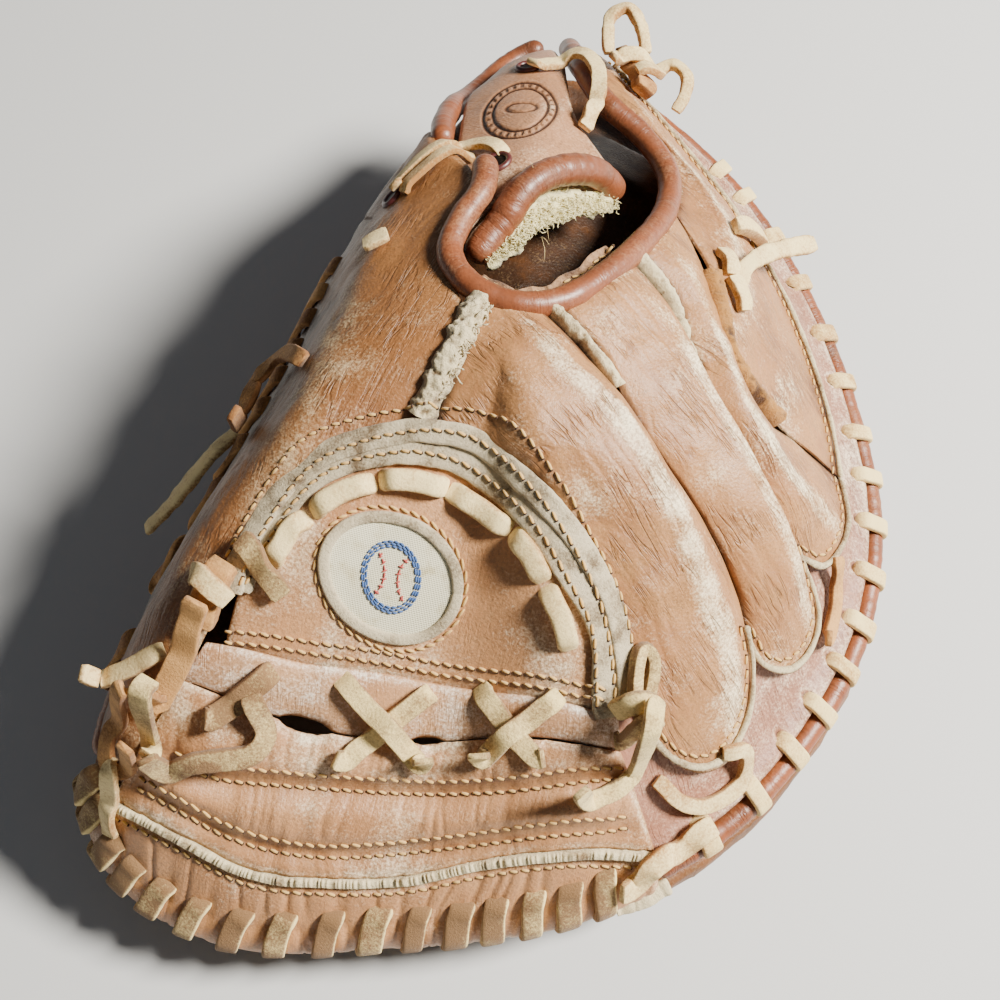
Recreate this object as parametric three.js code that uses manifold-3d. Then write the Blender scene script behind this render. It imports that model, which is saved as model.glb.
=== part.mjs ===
// A catcher's mitt for the left hand, lying palm down, seen from its back.
// Millimetres, +Z up. +Y runs from the web to the heel, +X is the finger side, -X the thumb side.
// The origin is the middle of the mitt's box, on the surface it lies on.
import * as THREE from "three";
import { mergeVertices } from "three/addons/utils/BufferGeometryUtils.js";
import Module from "manifold-3d";

const wasm = await Module();
wasm.setup();

// Driving sizes
const LEATHER = 2.5; // thickness of a leather panel
const GAP = 0.35; // clearance between neighbouring pieces
const ROLL = 4; // radius of the rolled rims
const BINDING = 3.6; // radius of the bindings round the opening and the heel
const ROLL_INSET = 5.6; // from the outline to the middle of the rim roll
const LACE_WIDTH = 6;
const LACE_THICK = 2;
const SEAT = 0.6; // from the leather up to a lace that lies on it
const PANEL_LOW = -1.2; // inner face of the finger and thumb panels, from the form's surface
const FLANGE_LOW = -4.1; // inner face of the flange, which the finger panels overlap
const HAND_ROOM = 30; // height of the hollow for the hand
const PALM_PAD = 15; // padding under the hand, over the ball pocket
const REST_FROM = 9; // the padded rim rests on the surface between these distances from the outline
const REST_TO = 24;
const LACE_CLEAR = ROLL + GAP + LACE_THICK + 1.5; // room that a lace wound round a roll takes
const CENTRE = { x: 8, y: 17 }; // middle of the outline, moved to the origin at the end
const CROWN = { x: 0, y: 10, z: 118 }; // top of the knuckles, which the form's rows run out from

// The form: one row for each direction out from the crown. x, y and rim are the outline and its height,
// the next four the heights at a quarter, half, three quarters and nine tenths of the way out. Where mouth
// is 1 the palm's edge is open for the wrist, and where it is 0 the back leather is joined to it.
const REACH = [0, 0.25, 0.5, 0.75, 0.9, 1];
const FORM = [
  { at: "ring_side", x: 121, y: 24, rim: 24, a: 108, b: 84, c: 54, d: 36, mouth: 0 },
  { at: "ring_heel", x: 110, y: 63, rim: 28, a: 110, b: 88, c: 58, d: 40, mouth: 0 },
  { at: "little_side", x: 91, y: 101, rim: 33, a: 112, b: 94, c: 66, d: 46, mouth: 0 },
  { at: "little_heel", x: 65, y: 131, rim: 43, a: 114, b: 100, c: 76, d: 56, mouth: 0 },
  { at: "heel_right", x: 29, y: 152, rim: 55, a: 118, b: 108, c: 88, d: 70, mouth: 0.4 },
  { at: "heel", x: -8, y: 170, rim: 60, a: 120, b: 112, c: 92, d: 76, mouth: 1 },
  { at: "heel_left", x: -35, y: 136, rim: 62, a: 119, b: 113, c: 98, d: 82, mouth: 1 },
  { at: "wrist_left", x: -47, y: 98, rim: 60, a: 119, b: 114, c: 102, d: 87, mouth: 0.5 },
  { at: "wrist_side", x: -65, y: 55, rim: 48, a: 118, b: 112, c: 96, d: 77, mouth: 0 },
  { at: "thumb_base", x: -79, y: 3, rim: 40, a: 117, b: 110, c: 91, d: 69, mouth: 0 },
  { at: "thumb_mid", x: -93, y: -39, rim: 28, a: 114, b: 105, c: 84, d: 60, mouth: 0 },
  { at: "thumb_side", x: -104, y: -73, rim: 28, a: 110, b: 98, c: 78, d: 56, mouth: 0 },
  { at: "thumb_tip", x: -104, y: -103, rim: 28, a: 106, b: 93, c: 74, d: 54, mouth: 0 },
  { at: "thumb_corner", x: -96, y: -120, rim: 19, a: 104, b: 88, c: 66, d: 44, mouth: 0 },
  { at: "web_left", x: -70, y: -134, rim: 16, a: 100, b: 78, c: 52, d: 34, mouth: 0 },
  { at: "web_mid", x: -8, y: -129, rim: 15, a: 98, b: 72, c: 46, d: 31, mouth: 0 },
  { at: "web_right", x: 59, y: -105, rim: 20, a: 107, b: 85, c: 58, d: 37, mouth: 0 },
  { at: "index_tip", x: 81, y: -87, rim: 24, a: 106, b: 80, c: 54, d: 36, mouth: 0 },
  { at: "middle_tip", x: 103, y: -57, rim: 24, a: 105, b: 80, c: 52, d: 35, mouth: 0 },
  { at: "middle_side", x: 119, y: -17, rim: 24, a: 106, b: 82, c: 52, d: 35, mouth: 0 },
];

// Plan lines of the seams and edges, as x, y from the web side to the heel or from the opening outwards
const OPENING = [
  [-15, 71], [-14, 59], [-18, 47], [-19, 36], [-12, 26], [0, 22], [11, 26], [21, 38],
  [30, 56], [36, 76], [35, 95], [26, 107], [14, 115], [6, 130], [1, 149], [-2, 162],
];
const HEEL_EDGE = [
  [-32, 89], [-34, 102], [-34, 114], [-34, 125], [-31, 138], [-25, 152], [-18, 160], [-11, 163],
];
const STRAP_EDGE = [[-16, 41, -8.8], [-10, 51, -6], [-3, 61, -2], [5, 71, -1.4], [15, 79, -2], [26, 85, -8.5]];
const THUMB_SEAM = [[-10, 19], [-13, 6], [-19, -10]];
const ARCH = [[-62, -58], [-57, -44], [-46, -28], [-31, -19], [-16, -15], [-1, -16], [12, -24], [25, -36],
  [35, -49], [40, -62]];
const INDEX_SEAM = [[11, 21], [25, 12], [39, -1], [54, -11], [66, -22], [73, -36]];
const MIDDLE_SEAM = [[31, 50], [40, 42], [46, 30], [53, 18], [63, 7], [74, -2], [86, -9]];
const RING_SEAM = [[41, 78], [51, 63], [57, 47], [62, 35], [75, 29], [88, 26], [100, 24]];
const FINGER_EDGE = [
  [100, 24], [95, 43], [87, 62], [77, 78], [64, 93], [49, 108], [36, 120], [25, 134], [14, 153],
];

// Inner edge of the flange, hidden under the finger panels
const FLANGE_INNER = [
  [40, -70], [60, -50], [78, -22], [84, 5], [80, 30], [68, 58], [50, 82], [34, 108], [20, 128],
];

// Laces lying on the leather: rows of x, y and how far each is lifted, then the steps along
const SKIN_LACES = {
  web_arch_lace: {
    rows: [[-52, -49], [-46, -40], [-35, -31], [-18, -26], [-2, -27], [11, -35], [22, -46], [29, -57]],
    steps: 16,
  },
  web_end_lace: { rows: [[-49, -72], [-55, -79], [-62, -86]], steps: 3, width: 7 },
  web_end_loop: { rows: [[-51, -82], [-48, -89], [-53, -92], [-66, -95], [-75, -98, 0.8]], steps: 7 },
  index_knot: { rows: [[42, -46, 1], [47, -51, 1], [49, -58, 1], [45, -62, 1]], steps: 6, thick: 3.2 },
  index_tail: { rows: [[50, -69], [49, -76], [43, -82], [34, -88]], steps: 6 },
  index_end_loop: {
    rows: [[55, -76, -1.5], [62, -79, -1.5], [70, -76, -1.5], [79, -68, -1.5], [80, -61, -1.5]],
    steps: 8,
    width: 4.5,
  },
  flange_lace: { rows: [[102, -3, -1.6], [104, -14, -1.6], [102, -26, -1.6]], steps: 4, width: 5 },
  little_tail: { rows: [[58, 76], [68, 90], [77, 99, 1], [84, 104, 5]], steps: 5, thick: 4 },
  heel_knot: { rows: [[17, 146, -0.3], [21, 137, -0.3], [24, 129, -0.3]], steps: 3, width: 9, thick: 6 },
  strap_lace_left: { rows: [[-12, 79], [-19, 82], [-27, 80], [-35, 73], [-41, 65]], steps: 8, width: 5 },
  strap_lace_right: {
    rows: [[-9, 127], [-3, 131], [3, 135], [9, 127], [13, 113], [10, 96]],
    steps: 10,
    width: 5,
  },
  thumb_loop: { rows: [[-54, 4], [-62, 11, 1], [-67, 8, 2], [-69, -2, 2], [-70, -9]], steps: 8, width: 5 },
  thumb_knot_tab: { rows: [[-57, -47, 0.8], [-48, -54, 0.8]], steps: 2, width: 5 },
  thumb_knot: { rows: [[-63, -54], [-66, -64]], steps: 2, width: 8, thick: 5 },
  thumb_strap: { rows: [[-69, -69], [-73, -77], [-77, -86]], steps: 3, width: 6.5 },
  thumb_lace_loop: { rows: [[-82, -88], [-89, -94], [-86, -101], [-79, -98]], steps: 6, width: 5 },
  thumb_side_tail: { rows: [[-78, -72], [-84, -77], [-91, -84, 2]], steps: 3, width: 5 },
  wrist_lace_end: { rows: [[-38, 43], [-43, 41]], steps: 1, width: 5 },
};
// Crossed laces over the web's slot: the two straps, each from one plan point to another
const CROSS_LACES = {
  web_cross_lace_1: [[[-31, -71], [-6, -86]], [[-29, -89], [-8, -69]]],
  web_cross_lace_2: [[[5, -67], [24, -81]], [[8, -83], [25, -67]]],
};
// Stiff lace ends that stand clear of the leather: rows of x, y, z
const FREE_LACES = {
  heel_hook: {
    rows: [[12, 152, 79.5], [11, 155, 80.5], [11, 161, 83], [16, 164, 84], [21, 158, 82.5], [24, 151, 80]],
    steps: 8,
    up: [0, 0.3, 1],
  },
  heel_curl: {
    rows: [[29.7, 145, 78], [33, 148, 78], [38, 143, 77], [37, 135, 75]],
    steps: 6,
    up: [0.2, 0, 1],
  },
  thumb_tail: {
    rows: [[-76, -8, 77], [-82, -14, 73], [-88, -22, 65], [-97, -29, 58]],
    steps: 4,
    up: [-0.6, 0, 0.8],
  },
};
const PATCH = { x: -21, y: -46, along: 16, across: 11, over: 1.3 };

const WEB_LEFT = [[-62, -58], [-68, -72], [-77, -87], [-86, -101], [-95, -113]];
const WEB_RIGHT = [[40, -62], [44, -74], [49, -84], [56, -94], [62, -102]];
const WEB_SEAM = [[-66, -68], [-42, -68], [-16, -66], [12, -66], [42, -67]];
const WEB_SLOT = [[-71, -77], [-51, -80], [-30, -81], [-4, -78], [15, -75], [44, -74]];
const WEB_FRINGE = [
  [-89, -105], [-69, -111], [-50, -116], [-31, -115], [-9, -111], [12, -104], [35, -97], [51, -92],
];

// Surface of the form
const turn = 2 * Math.PI;
const directions = FORM.map((row) => {
  const dx = row.x - CROWN.x;
  const dy = row.y - CROWN.y;
  return {
    angle: (Math.atan2(dy, dx) + turn) % turn,
    values: [Math.hypot(dx, dy), row.a, row.b, row.c, row.d, row.rim, row.mouth],
  };
}).sort((p, q) => p.angle - q.angle);

// A cubic through rows of values, with each slope taken over its two neighbours.
function cubic(before, from, to, after, at) {
  const span = to.t - from.t;
  const s = (at - from.t) / span;
  return from.v.map((low, k) => {
    const high = to.v[k];
    const here = (high - low) / span;
    const m0 = before ? (((low - before.v[k]) / (from.t - before.t)) + here) / 2 : here;
    const m1 = after ? (here + (after.v[k] - high) / (after.t - to.t)) / 2 : here;
    return (
      (2 * s ** 3 - 3 * s ** 2 + 1) * low +
      (s ** 3 - 2 * s ** 2 + s) * span * m0 +
      (3 * s ** 2 - 2 * s ** 3) * high +
      (s ** 3 - s ** 2) * span * m1
    );
  });
}

function direction(angle) {
  const a = ((angle % turn) + turn) % turn;
  const n = directions.length;
  const next = directions.findIndex((row) => row.angle > a);
  const i = next < 0 ? n : next;
  const row = (k) => ({
    t: directions[(k + n) % n].angle + turn * Math.floor(k / n),
    v: directions[(k + n) % n].values,
  });
  const [radius, ...rest] = cubic(row(i - 2), row(i - 1), row(i), row(i + 1), a);
  return { radius, heights: [CROWN.z, ...rest.slice(0, 5)], mouth: Math.max(0, rest[5]) };
}

function heightAt(heights, reach) {
  const r = Math.min(reach, 1);
  const i = Math.max(1, REACH.findIndex((step) => step >= r));
  const row = (k) => ({ t: REACH[k], v: [heights[k]] });
  const flat = { t: -REACH[1], v: [heights[1]] };
  const before = i > 1 ? row(i - 2) : flat;
  return cubic(before, row(i - 1), row(i), i < 5 ? row(i + 1) : null, r)[0];
}

function height(x, y) {
  const { radius, heights } = direction(Math.atan2(y - CROWN.y, x - CROWN.x));
  return heightAt(heights, Math.hypot(x - CROWN.x, y - CROWN.y) / radius);
}

// The way out of the surface at a plan point.
function outward(x, y) {
  const step = 2;
  const dx = (height(x + step, y) - height(x - step, y)) / (2 * step);
  const dy = (height(x, y + step) - height(x, y - step)) / (2 * step);
  return new THREE.Vector3(-dx, -dy, 1).normalize();
}

// The point at this height over the form's surface.
function skin(x, y, over = 0) {
  return new THREE.Vector3(x, y, height(x, y)).addScaledVector(outward(x, y), over);
}

// How much longer a step in from the outline is along the direction than square to the outline.
function slant(angle) {
  const step = 0.02;
  const { radius } = direction(angle);
  const change = (direction(angle + step).radius - direction(angle - step).radius) / (2 * step);
  return Math.min(1.6, Math.hypot(1, change / radius));
}

// A plan point in this direction from the crown, this far inside the outline.
function rimPoint(degrees, inset) {
  const angle = THREE.MathUtils.degToRad(degrees);
  const r = direction(angle).radius - inset * slant(angle);
  return [CROWN.x + r * Math.cos(angle), CROWN.y + r * Math.sin(angle)];
}

// Plan lines, each a function of 0 to 1
function smooth(rows) {
  return new THREE.CatmullRomCurve3(rows.map((row) => new THREE.Vector3(...row)), false, "centripetal");
}

function line(points) {
  const curve = smooth(points.map(([x, y]) => [x, y, 0]));
  return (t) => {
    const p = curve.getPointAt(Math.min(1, Math.max(0, t)));
    return [p.x, p.y];
  };
}

// Closed bodies, turned so that their faces point out
function bodyFrom(triangles) {
  const geometry = new THREE.BufferGeometry();
  const volume = triangles.reduce((sum, [a, b, c]) => sum + a.dot(b.clone().cross(c)), 0);
  const facing = volume < 0 ? triangles.map(([a, b, c]) => [a, c, b]) : triangles;
  const flat = facing.flatMap((t) => t.flatMap((p) => [p.x, p.y, p.z]));
  geometry.setAttribute("position", new THREE.Float32BufferAttribute(flat, 3));
  return geometry;
}

function quad(triangles, a, b, c, d) {
  const same = (p, q) => p.distanceToSquared(q) < 1e-6;
  if (!same(a, b) && !same(b, c) && !same(a, c)) triangles.push([a, b, c]);
  if (!same(a, c) && !same(c, d) && !same(a, d)) triangles.push([a, c, d]);
}

// Rings of the same count joined in order, with ladder caps on an open run.
function loft(rings, closed = false) {
  const triangles = [];
  const count = rings[0].length;
  const last = closed ? rings.length : rings.length - 1;
  for (let i = 0; i < last; i++) {
    const from = rings[i];
    const to = rings[(i + 1) % rings.length];
    for (let j = 0; j < count; j++) {
      const k = (j + 1) % count;
      quad(triangles, from[j], from[k], to[k], to[j]);
    }
  }
  if (!closed) {
    const start = rings[0];
    const end = rings[rings.length - 1];
    for (let j = 0; j < count / 2 - 1; j++) {
      quad(triangles, start[j], start[count - 1 - j], start[count - 2 - j], start[j + 1]);
      quad(triangles, end[j], end[j + 1], end[count - 2 - j], end[count - 1 - j]);
    }
  }
  return bodyFrom(triangles);
}

function solid(geometry) {
  const clean = geometry.clone();
  clean.deleteAttribute("normal");
  clean.deleteAttribute("uv");
  const merged = mergeVertices(clean, 1e-4);
  return new wasm.Manifold(
    new wasm.Mesh({
      numProp: 3,
      vertProperties: new Float32Array(merged.attributes.position.array),
      triVerts: new Uint32Array(merged.index.array),
    }),
  );
}

function geometryOf(made) {
  const mesh = made.getMesh();
  const geometry = new THREE.BufferGeometry();
  geometry.setAttribute("position", new THREE.BufferAttribute(mesh.vertProperties, 3));
  geometry.setIndex(new THREE.BufferAttribute(mesh.triVerts, 1));
  return geometry.toNonIndexed();
}

// Materials
const COLOURS = {
  leather: [0xa9764e, 0.6],
  flange: [0x9a6a4c, 0.6],
  binding: [0x9c5f38, 0.42],
  palm: [0x8a5a38, 0.7],
  rawhide: [0xcbb088, 0.8],
  suede: [0xb9a98c, 0.95],
  cloth: [0xe6dfc6, 0.9],
  fleece: [0xd9d6a8, 1],
};
const materials = Object.fromEntries(
  Object.entries(COLOURS).map(([name, [color, roughness]]) => [
    name,
    new THREE.MeshStandardMaterial({ color, roughness, metalness: 0 }),
  ]),
);

const mitt = new THREE.Group();

function add(name, geometry, finish) {
  geometry.computeVertexNormals();
  const mesh = new THREE.Mesh(geometry, materials[finish]);
  mesh.name = name;
  mitt.add(mesh);
}

// Leather panels
// An edge moved square to itself towards the points inside it.
function pulledIn(edge, inside, by) {
  return edge.map((p, i) => {
    const along = edge[Math.min(edge.length - 1, i + 1)].clone().sub(edge[Math.max(0, i - 1)]).normalize();
    const square = new THREE.Vector2(-along.y, along.x);
    const inwards = inside[i].clone().sub(p);
    if (square.dot(inwards) < 0) square.negate();
    return p.clone().addScaledVector(square, Math.min(by, inwards.length() * 0.8));
  });
}

// A panel fills the space between four plan edges: near and far run the same way, left and right
// join their ends. puff lifts its middle over the form, and each margin pulls an edge in.
function panel(edges, { along, across, puff = () => 0, low = PANEL_LOW, thick = LEATHER, margins = {} }) {
  const { near, far, left, right } = edges;
  const { start = GAP, end = GAP, inner = GAP, outer = GAP } = margins;
  const plan = [];
  for (let i = 0; i <= along; i++) {
    const v = i / along;
    plan.push([]);
    for (let j = 0; j <= across; j++) {
      const u = j / across;
      const blend = (k) =>
        (1 - u) * left(v)[k] + u * right(v)[k] + (1 - v) * near(u)[k] + v * far(u)[k] -
        (1 - u) * (1 - v) * near(0)[k] - u * (1 - v) * near(1)[k] - (1 - u) * v * far(0)[k] - u * v * far(1)[k];
      plan[i].push(new THREE.Vector2(blend(0), blend(1)));
    }
  }
  const column = (j) => plan.map((row) => row[j]);
  pulledIn(column(0), column(1), inner).forEach((p, i) => { plan[i][0] = p; });
  pulledIn(column(across), column(across - 1), outer).forEach((p, i) => { plan[i][across] = p; });
  plan[0] = pulledIn(plan[0], plan[1], start);
  plan[along] = pulledIn(plan[along], plan[along - 1], end);
  const rings = plan.map((row, i) => {
    const lift = row.map((p, j) => puff(j / across, i / along));
    const top = row.map((p, j) => skin(p.x, p.y, low + thick + lift[j]));
    const under = row.map((p, j) => skin(p.x, p.y, low + lift[j]));
    return [...top, ...under.reverse()];
  });
  return loft(rings);
}

// Height of a padded finger: full in the middle, down to nothing at its seams.
function rounded(u) {
  return Math.sin(Math.PI * u) ** 1.6;
}

function padding(crest) {
  const steps = crest.length - 1;
  return (u, v) => {
    const i = Math.min(steps - 1, Math.floor(v * steps));
    const s = v * steps - i;
    return rounded(u) * (crest[i] * (1 - s) + crest[i + 1] * s);
  };
}

function bowed(from, to, bow) {
  return (t) => {
    const dx = to[0] - from[0];
    const dy = to[1] - from[1];
    const size = Math.hypot(dx, dy);
    const out = 4 * t * (1 - t) * bow;
    return [from[0] + dx * t + (dy / size) * out, from[1] + dy * t - (dx / size) * out];
  };
}

const opening = line(OPENING);
const EDGE_OUT = ROLL + 1.6; // from the middle of the opening's roll to the panels round it

// The opening's line pushed outwards, which the panels round it stop at.
function openingSide(t, out = EDGE_OUT) {
  const [x0, y0] = opening(t - 0.01);
  const [x1, y1] = opening(t + 0.01);
  const size = Math.hypot(x1 - x0, y1 - y0);
  const [x, y] = opening(t);
  return [x + ((y1 - y0) / size) * out, y - ((x1 - x0) / size) * out];
}

function nearestOnOpening([x, y]) {
  const steps = 400;
  const away = Array.from({ length: steps + 1 }, (_, i) => {
    const [px, py] = openingSide(i / steps);
    return Math.hypot(px - x, py - y);
  });
  return away.indexOf(Math.min(...away)) / steps;
}

function openingEdge(from, to) {
  return (t) => openingSide(from + (to - from) * t);
}

const [thumbAt, indexAt, middleAt, ringAt] = [THUMB_SEAM, INDEX_SEAM, MIDDLE_SEAM, RING_SEAM].map(
  (seam) => nearestOnOpening(seam[0]),
);

function seamFrom(at, points) {
  return line([openingSide(at), ...points.slice(1)]);
}

const thumbSeam = seamFrom(thumbAt, THUMB_SEAM);
const indexSeam = seamFrom(indexAt, INDEX_SEAM);
const middleSeam = seamFrom(middleAt, MIDDLE_SEAM);
const ringSeam = seamFrom(ringAt, RING_SEAM);

// Rim
// The middle of the rim roll, a little below the surface.
const ROLL_UNDER = 3;
function rollMiddle(degrees) {
  const [x, y] = rimPoint(degrees, ROLL_INSET);
  return skin(x, y, -ROLL_UNDER);
}

// How far inside the outline a panel must stop to clear the lace round the rim roll.
function clearInset(degrees) {
  const middle = rollMiddle(degrees);
  let inset = ROLL_INSET;
  const near = (over) => {
    const [x, y] = rimPoint(degrees, inset);
    return skin(x, y, over).distanceTo(middle) < LACE_CLEAR + GAP;
  };
  while (near(FLANGE_LOW) || near(-2) || near(PANEL_LOW + LEATHER)) inset += 0.25;
  return inset;
}

function rimLine(from, to, extra = 0) {
  return (t) => {
    const degrees = from + (to - from) * t;
    return rimPoint(degrees, clearInset(degrees) + extra);
  };
}

// The padded palm
// One cut through the palm at this direction: from the crown out over the hand's hollow, down the
// outside, along the face that it rests on and up into the ball pocket.
function palmCut(degrees) {
  const angle = THREE.MathUtils.degToRad(degrees);
  const { radius, heights, mouth } = direction(angle);
  const longer = slant(angle);
  const at = (inset, z) => {
    const r = radius - inset * longer;
    return new THREE.Vector3(CROWN.x + r * Math.cos(angle), CROWN.y + r * Math.sin(angle), z);
  };
  const under = (reach, depth) => at((radius * (1 - reach)) / longer, heightAt(heights, reach) - depth);
  const middle = rollMiddle(degrees);
  const rollInset = (radius - Math.hypot(middle.x - CROWN.x, middle.y - CROWN.y)) / longer;
  const clear = LACE_CLEAR + 3.1 + (ROLL + GAP - LACE_CLEAR + 7) * Math.min(1, mouth);
  const shelf = middle.z - clear;
  const stepInset = rollInset + LACE_CLEAR + 2;
  const [sx, sy] = rimPoint(degrees, stepInset);
  const step = skin(sx, sy, FLANGE_LOW - GAP);
  step.z -= 30 * mouth;
  const stepReach = 1 - (stepInset * longer) / radius;
  const halfway = (0.5 + stepReach) / 2;
  const foot = at(stepInset, Math.min(shelf, step.z));
  const ceiling = heightAt(heights, 0.5) - HAND_ROOM - PALM_PAD;
  return [
    under(0, HAND_ROOM),
    under(0.25, HAND_ROOM),
    under(0.5, HAND_ROOM),
    under(halfway, HAND_ROOM * 0.55 + 12 * mouth),
    step,
    foot.z < step.z ? foot : step.clone().lerp(at(rollInset + ROLL + 2, shelf), 0.5),
    at(rollInset + ROLL, shelf),
    at(1.5, shelf),
    at(0.6, shelf * 0.6),
    at(3, shelf * 0.2),
    at(REST_FROM, 0),
    at(REST_TO, 0),
    at(REST_TO + ((radius * 0.5) / longer - REST_TO) * 0.35, ceiling * 0.45),
    under(0.5, HAND_ROOM + PALM_PAD),
    under(0.25, HAND_ROOM + PALM_PAD),
    under(0, HAND_ROOM + PALM_PAD),
  ];
}

function palm() {
  const steps = 40;
  const cuts = Array.from({ length: steps }, (_, i) => palmCut((i * 360) / steps));
  const triangles = [];
  cuts.forEach((cut, i) => {
    const next = cuts[(i + 1) % steps];
    for (let j = 0; j < cut.length - 1; j++) quad(triangles, cut[j], cut[j + 1], next[j + 1], next[j]);
  });
  const bay = new THREE.Shape([
    ...ARCH, ...WEB_RIGHT.slice(1), [90, -150], [-130, -150], ...WEB_LEFT.slice(1).reverse(),
  ].map(([x, y]) => new THREE.Vector2(x, y)));
  const cutter = new THREE.ExtrudeGeometry(bay, { depth: 200, bevelEnabled: false }).translate(0, 0, -20);
  add("palm_pad", geometryOf(solid(bodyFrom(triangles)).subtract(solid(cutter))), "palm");
}

// Rolls and laces
// A strip along points, each with the direction that its face looks in.
function strip(path, section, closed = false) {
  const rings = path.map(({ at, up }, i) => {
    const before = path[closed ? (i + path.length - 1) % path.length : Math.max(0, i - 1)].at;
    const after = path[closed ? (i + 1) % path.length : Math.min(path.length - 1, i + 1)].at;
    const along = after.clone().sub(before).normalize();
    const side = new THREE.Vector3().crossVectors(up, along).normalize();
    const face = new THREE.Vector3().crossVectors(along, side);
    return section.map(([a, b]) => at.clone().addScaledVector(side, a).addScaledVector(face, b));
  });
  return loft(rings, closed);
}

function flat(width = LACE_WIDTH, thick = LACE_THICK) {
  const a = width / 2;
  const b = thick / 2;
  return [[-a, -b], [a, -b], [a, b], [-a, b]];
}

function round(radius, sides = 8) {
  return Array.from({ length: sides }, (_, i) => {
    const angle = ((i + 0.5) * turn) / sides;
    return [radius * Math.cos(angle), radius * Math.sin(angle)];
  });
}

// Points on the skin along x, y, height-over-the-skin rows, smoothed through them.
function overSkin(rows, steps) {
  const curve = smooth(rows);
  return Array.from({ length: steps + 1 }, (_, i) => {
    const p = curve.getPointAt(i / steps);
    return { at: skin(p.x, p.y, p.z), up: outward(p.x, p.y) };
  });
}

// A lace end that stands clear of the leather, through plain x, y, z rows.
function free(rows, steps, up) {
  const curve = smooth(rows);
  return Array.from({ length: steps + 1 }, (_, i) => ({
    at: curve.getPointAt(i / steps),
    up: new THREE.Vector3(...up),
  }));
}

// How far the pieces built so far stand over the form within half a lace's width of a plan point.
const caster = new THREE.Raycaster();
const down = new THREE.Vector3(0, 0, -1);
function standsOver(x, y, width) {
  const r = width / 2;
  const spots = [[0, 0], [r, 0], [-r, 0], [0, r], [0, -r]].map(([a, b]) => [x + a, y + b]);
  return Math.max(0, ...spots.map(([px, py]) => {
    caster.set(new THREE.Vector3(px, py, 2 * CROWN.z), down);
    const [hit] = caster.intersectObjects(mitt.children);
    return hit ? (hit.point.z - height(px, py)) * outward(px, py).z : 0;
  }));
}

// A lace lying on the pieces built so far, along x, y, lift rows.
function lying(rows, steps, { width = LACE_WIDTH, thick = LACE_THICK } = {}) {
  const curve = smooth(rows.map(([x, y, lift = 0]) => [x, y, lift]));
  const spot = (i) => curve.getPointAt(Math.min(1, Math.max(0, i / steps)));
  return Array.from({ length: steps + 1 }, (_, i) => {
    const p = spot(i);
    const under = [spot(i - 0.5), p, spot(i + 0.5)].map((q) => standsOver(q.x, q.y, width));
    return { at: skin(p.x, p.y, Math.max(...under) + p.z + SEAT + thick / 2), up: outward(p.x, p.y) };
  });
}

function alongRim(from, to, steps) {
  return Array.from({ length: steps + 1 }, (_, i) => {
    const degrees = from + ((to - from) * i) / steps;
    const [x, y] = rimPoint(degrees, ROLL_INSET);
    return { at: rollMiddle(degrees), up: outward(x, y) };
  });
}

// A lace wound round the rim roll: a bar over the top for each turn, and a slanted run below.
function whipped(from, to, turns) {
  const fine = alongRim(from, to, 240);
  const lengths = [0];
  for (let i = 1; i < fine.length; i++) lengths.push(lengths[i - 1] + fine[i].at.distanceTo(fine[i - 1].at));
  const total = lengths[lengths.length - 1];
  const frameAt = (distance) => {
    const wanted = Math.min(total - 1e-6, Math.max(0, distance));
    const i = Math.max(1, lengths.findIndex((sum) => sum > wanted));
    const s = (wanted - lengths[i - 1]) / (lengths[i] - lengths[i - 1]);
    const middle = fine[i - 1].at.clone().lerp(fine[i].at, s);
    const along = fine[i].at.clone().sub(fine[i - 1].at).normalize();
    const side = new THREE.Vector3().crossVectors(fine[i].up, along).normalize();
    return { middle, side, face: new THREE.Vector3().crossVectors(along, side) };
  };
  const pitch = total / turns;
  const reach = (ROLL + GAP + 0.5 + LACE_THICK / 2) / Math.cos(Math.PI / 6);
  // angle round the roll in degrees, and the share of a pitch gone by
  const BAR = [[150, 0.05], [90, 0.14], [30, 0.23], [-30, 0.45], [-90, 0.65], [-150, 0.85]];
  const path = [];
  for (let n = 0; n < turns; n++) {
    for (const [degrees, share] of BAR) {
      const { middle, side, face } = frameAt((n + share) * pitch);
      const a = THREE.MathUtils.degToRad(degrees);
      const up = side.clone().multiplyScalar(-Math.cos(a)).addScaledVector(face, Math.sin(a));
      path.push({ at: middle.clone().addScaledVector(up, reach), up });
    }
  }
  return strip(path, flat());
}

function rim() {
  const inner = line(FLANGE_INNER);
  const outer = rimLine(-60, 78, -1);
  add("finger_flange", panel({
    left: inner,
    right: outer,
    near: line([inner(0), outer(0)]),
    far: line([inner(1), outer(1)]),
  }, { along: 22, across: 3, low: FLANGE_LOW }), "flange");
  add("finger_rim_roll", strip(alongRim(-61, 83, 30), round(ROLL)), "binding");
  add("thumb_rim_roll", strip(alongRim(112, 226, 20), round(ROLL)), "binding");
  add("web_edge_roll", strip(alongRim(228, 297, 16), round(ROLL)), "leather");
  add("finger_rim_lace", whipped(-57, 66, 17), "rawhide");
  add("thumb_rim_lace", whipped(150, 222, 9), "rawhide");
  add("web_edge_lace", whipped(229.5, 295.5, 19), "rawhide");
}

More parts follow.
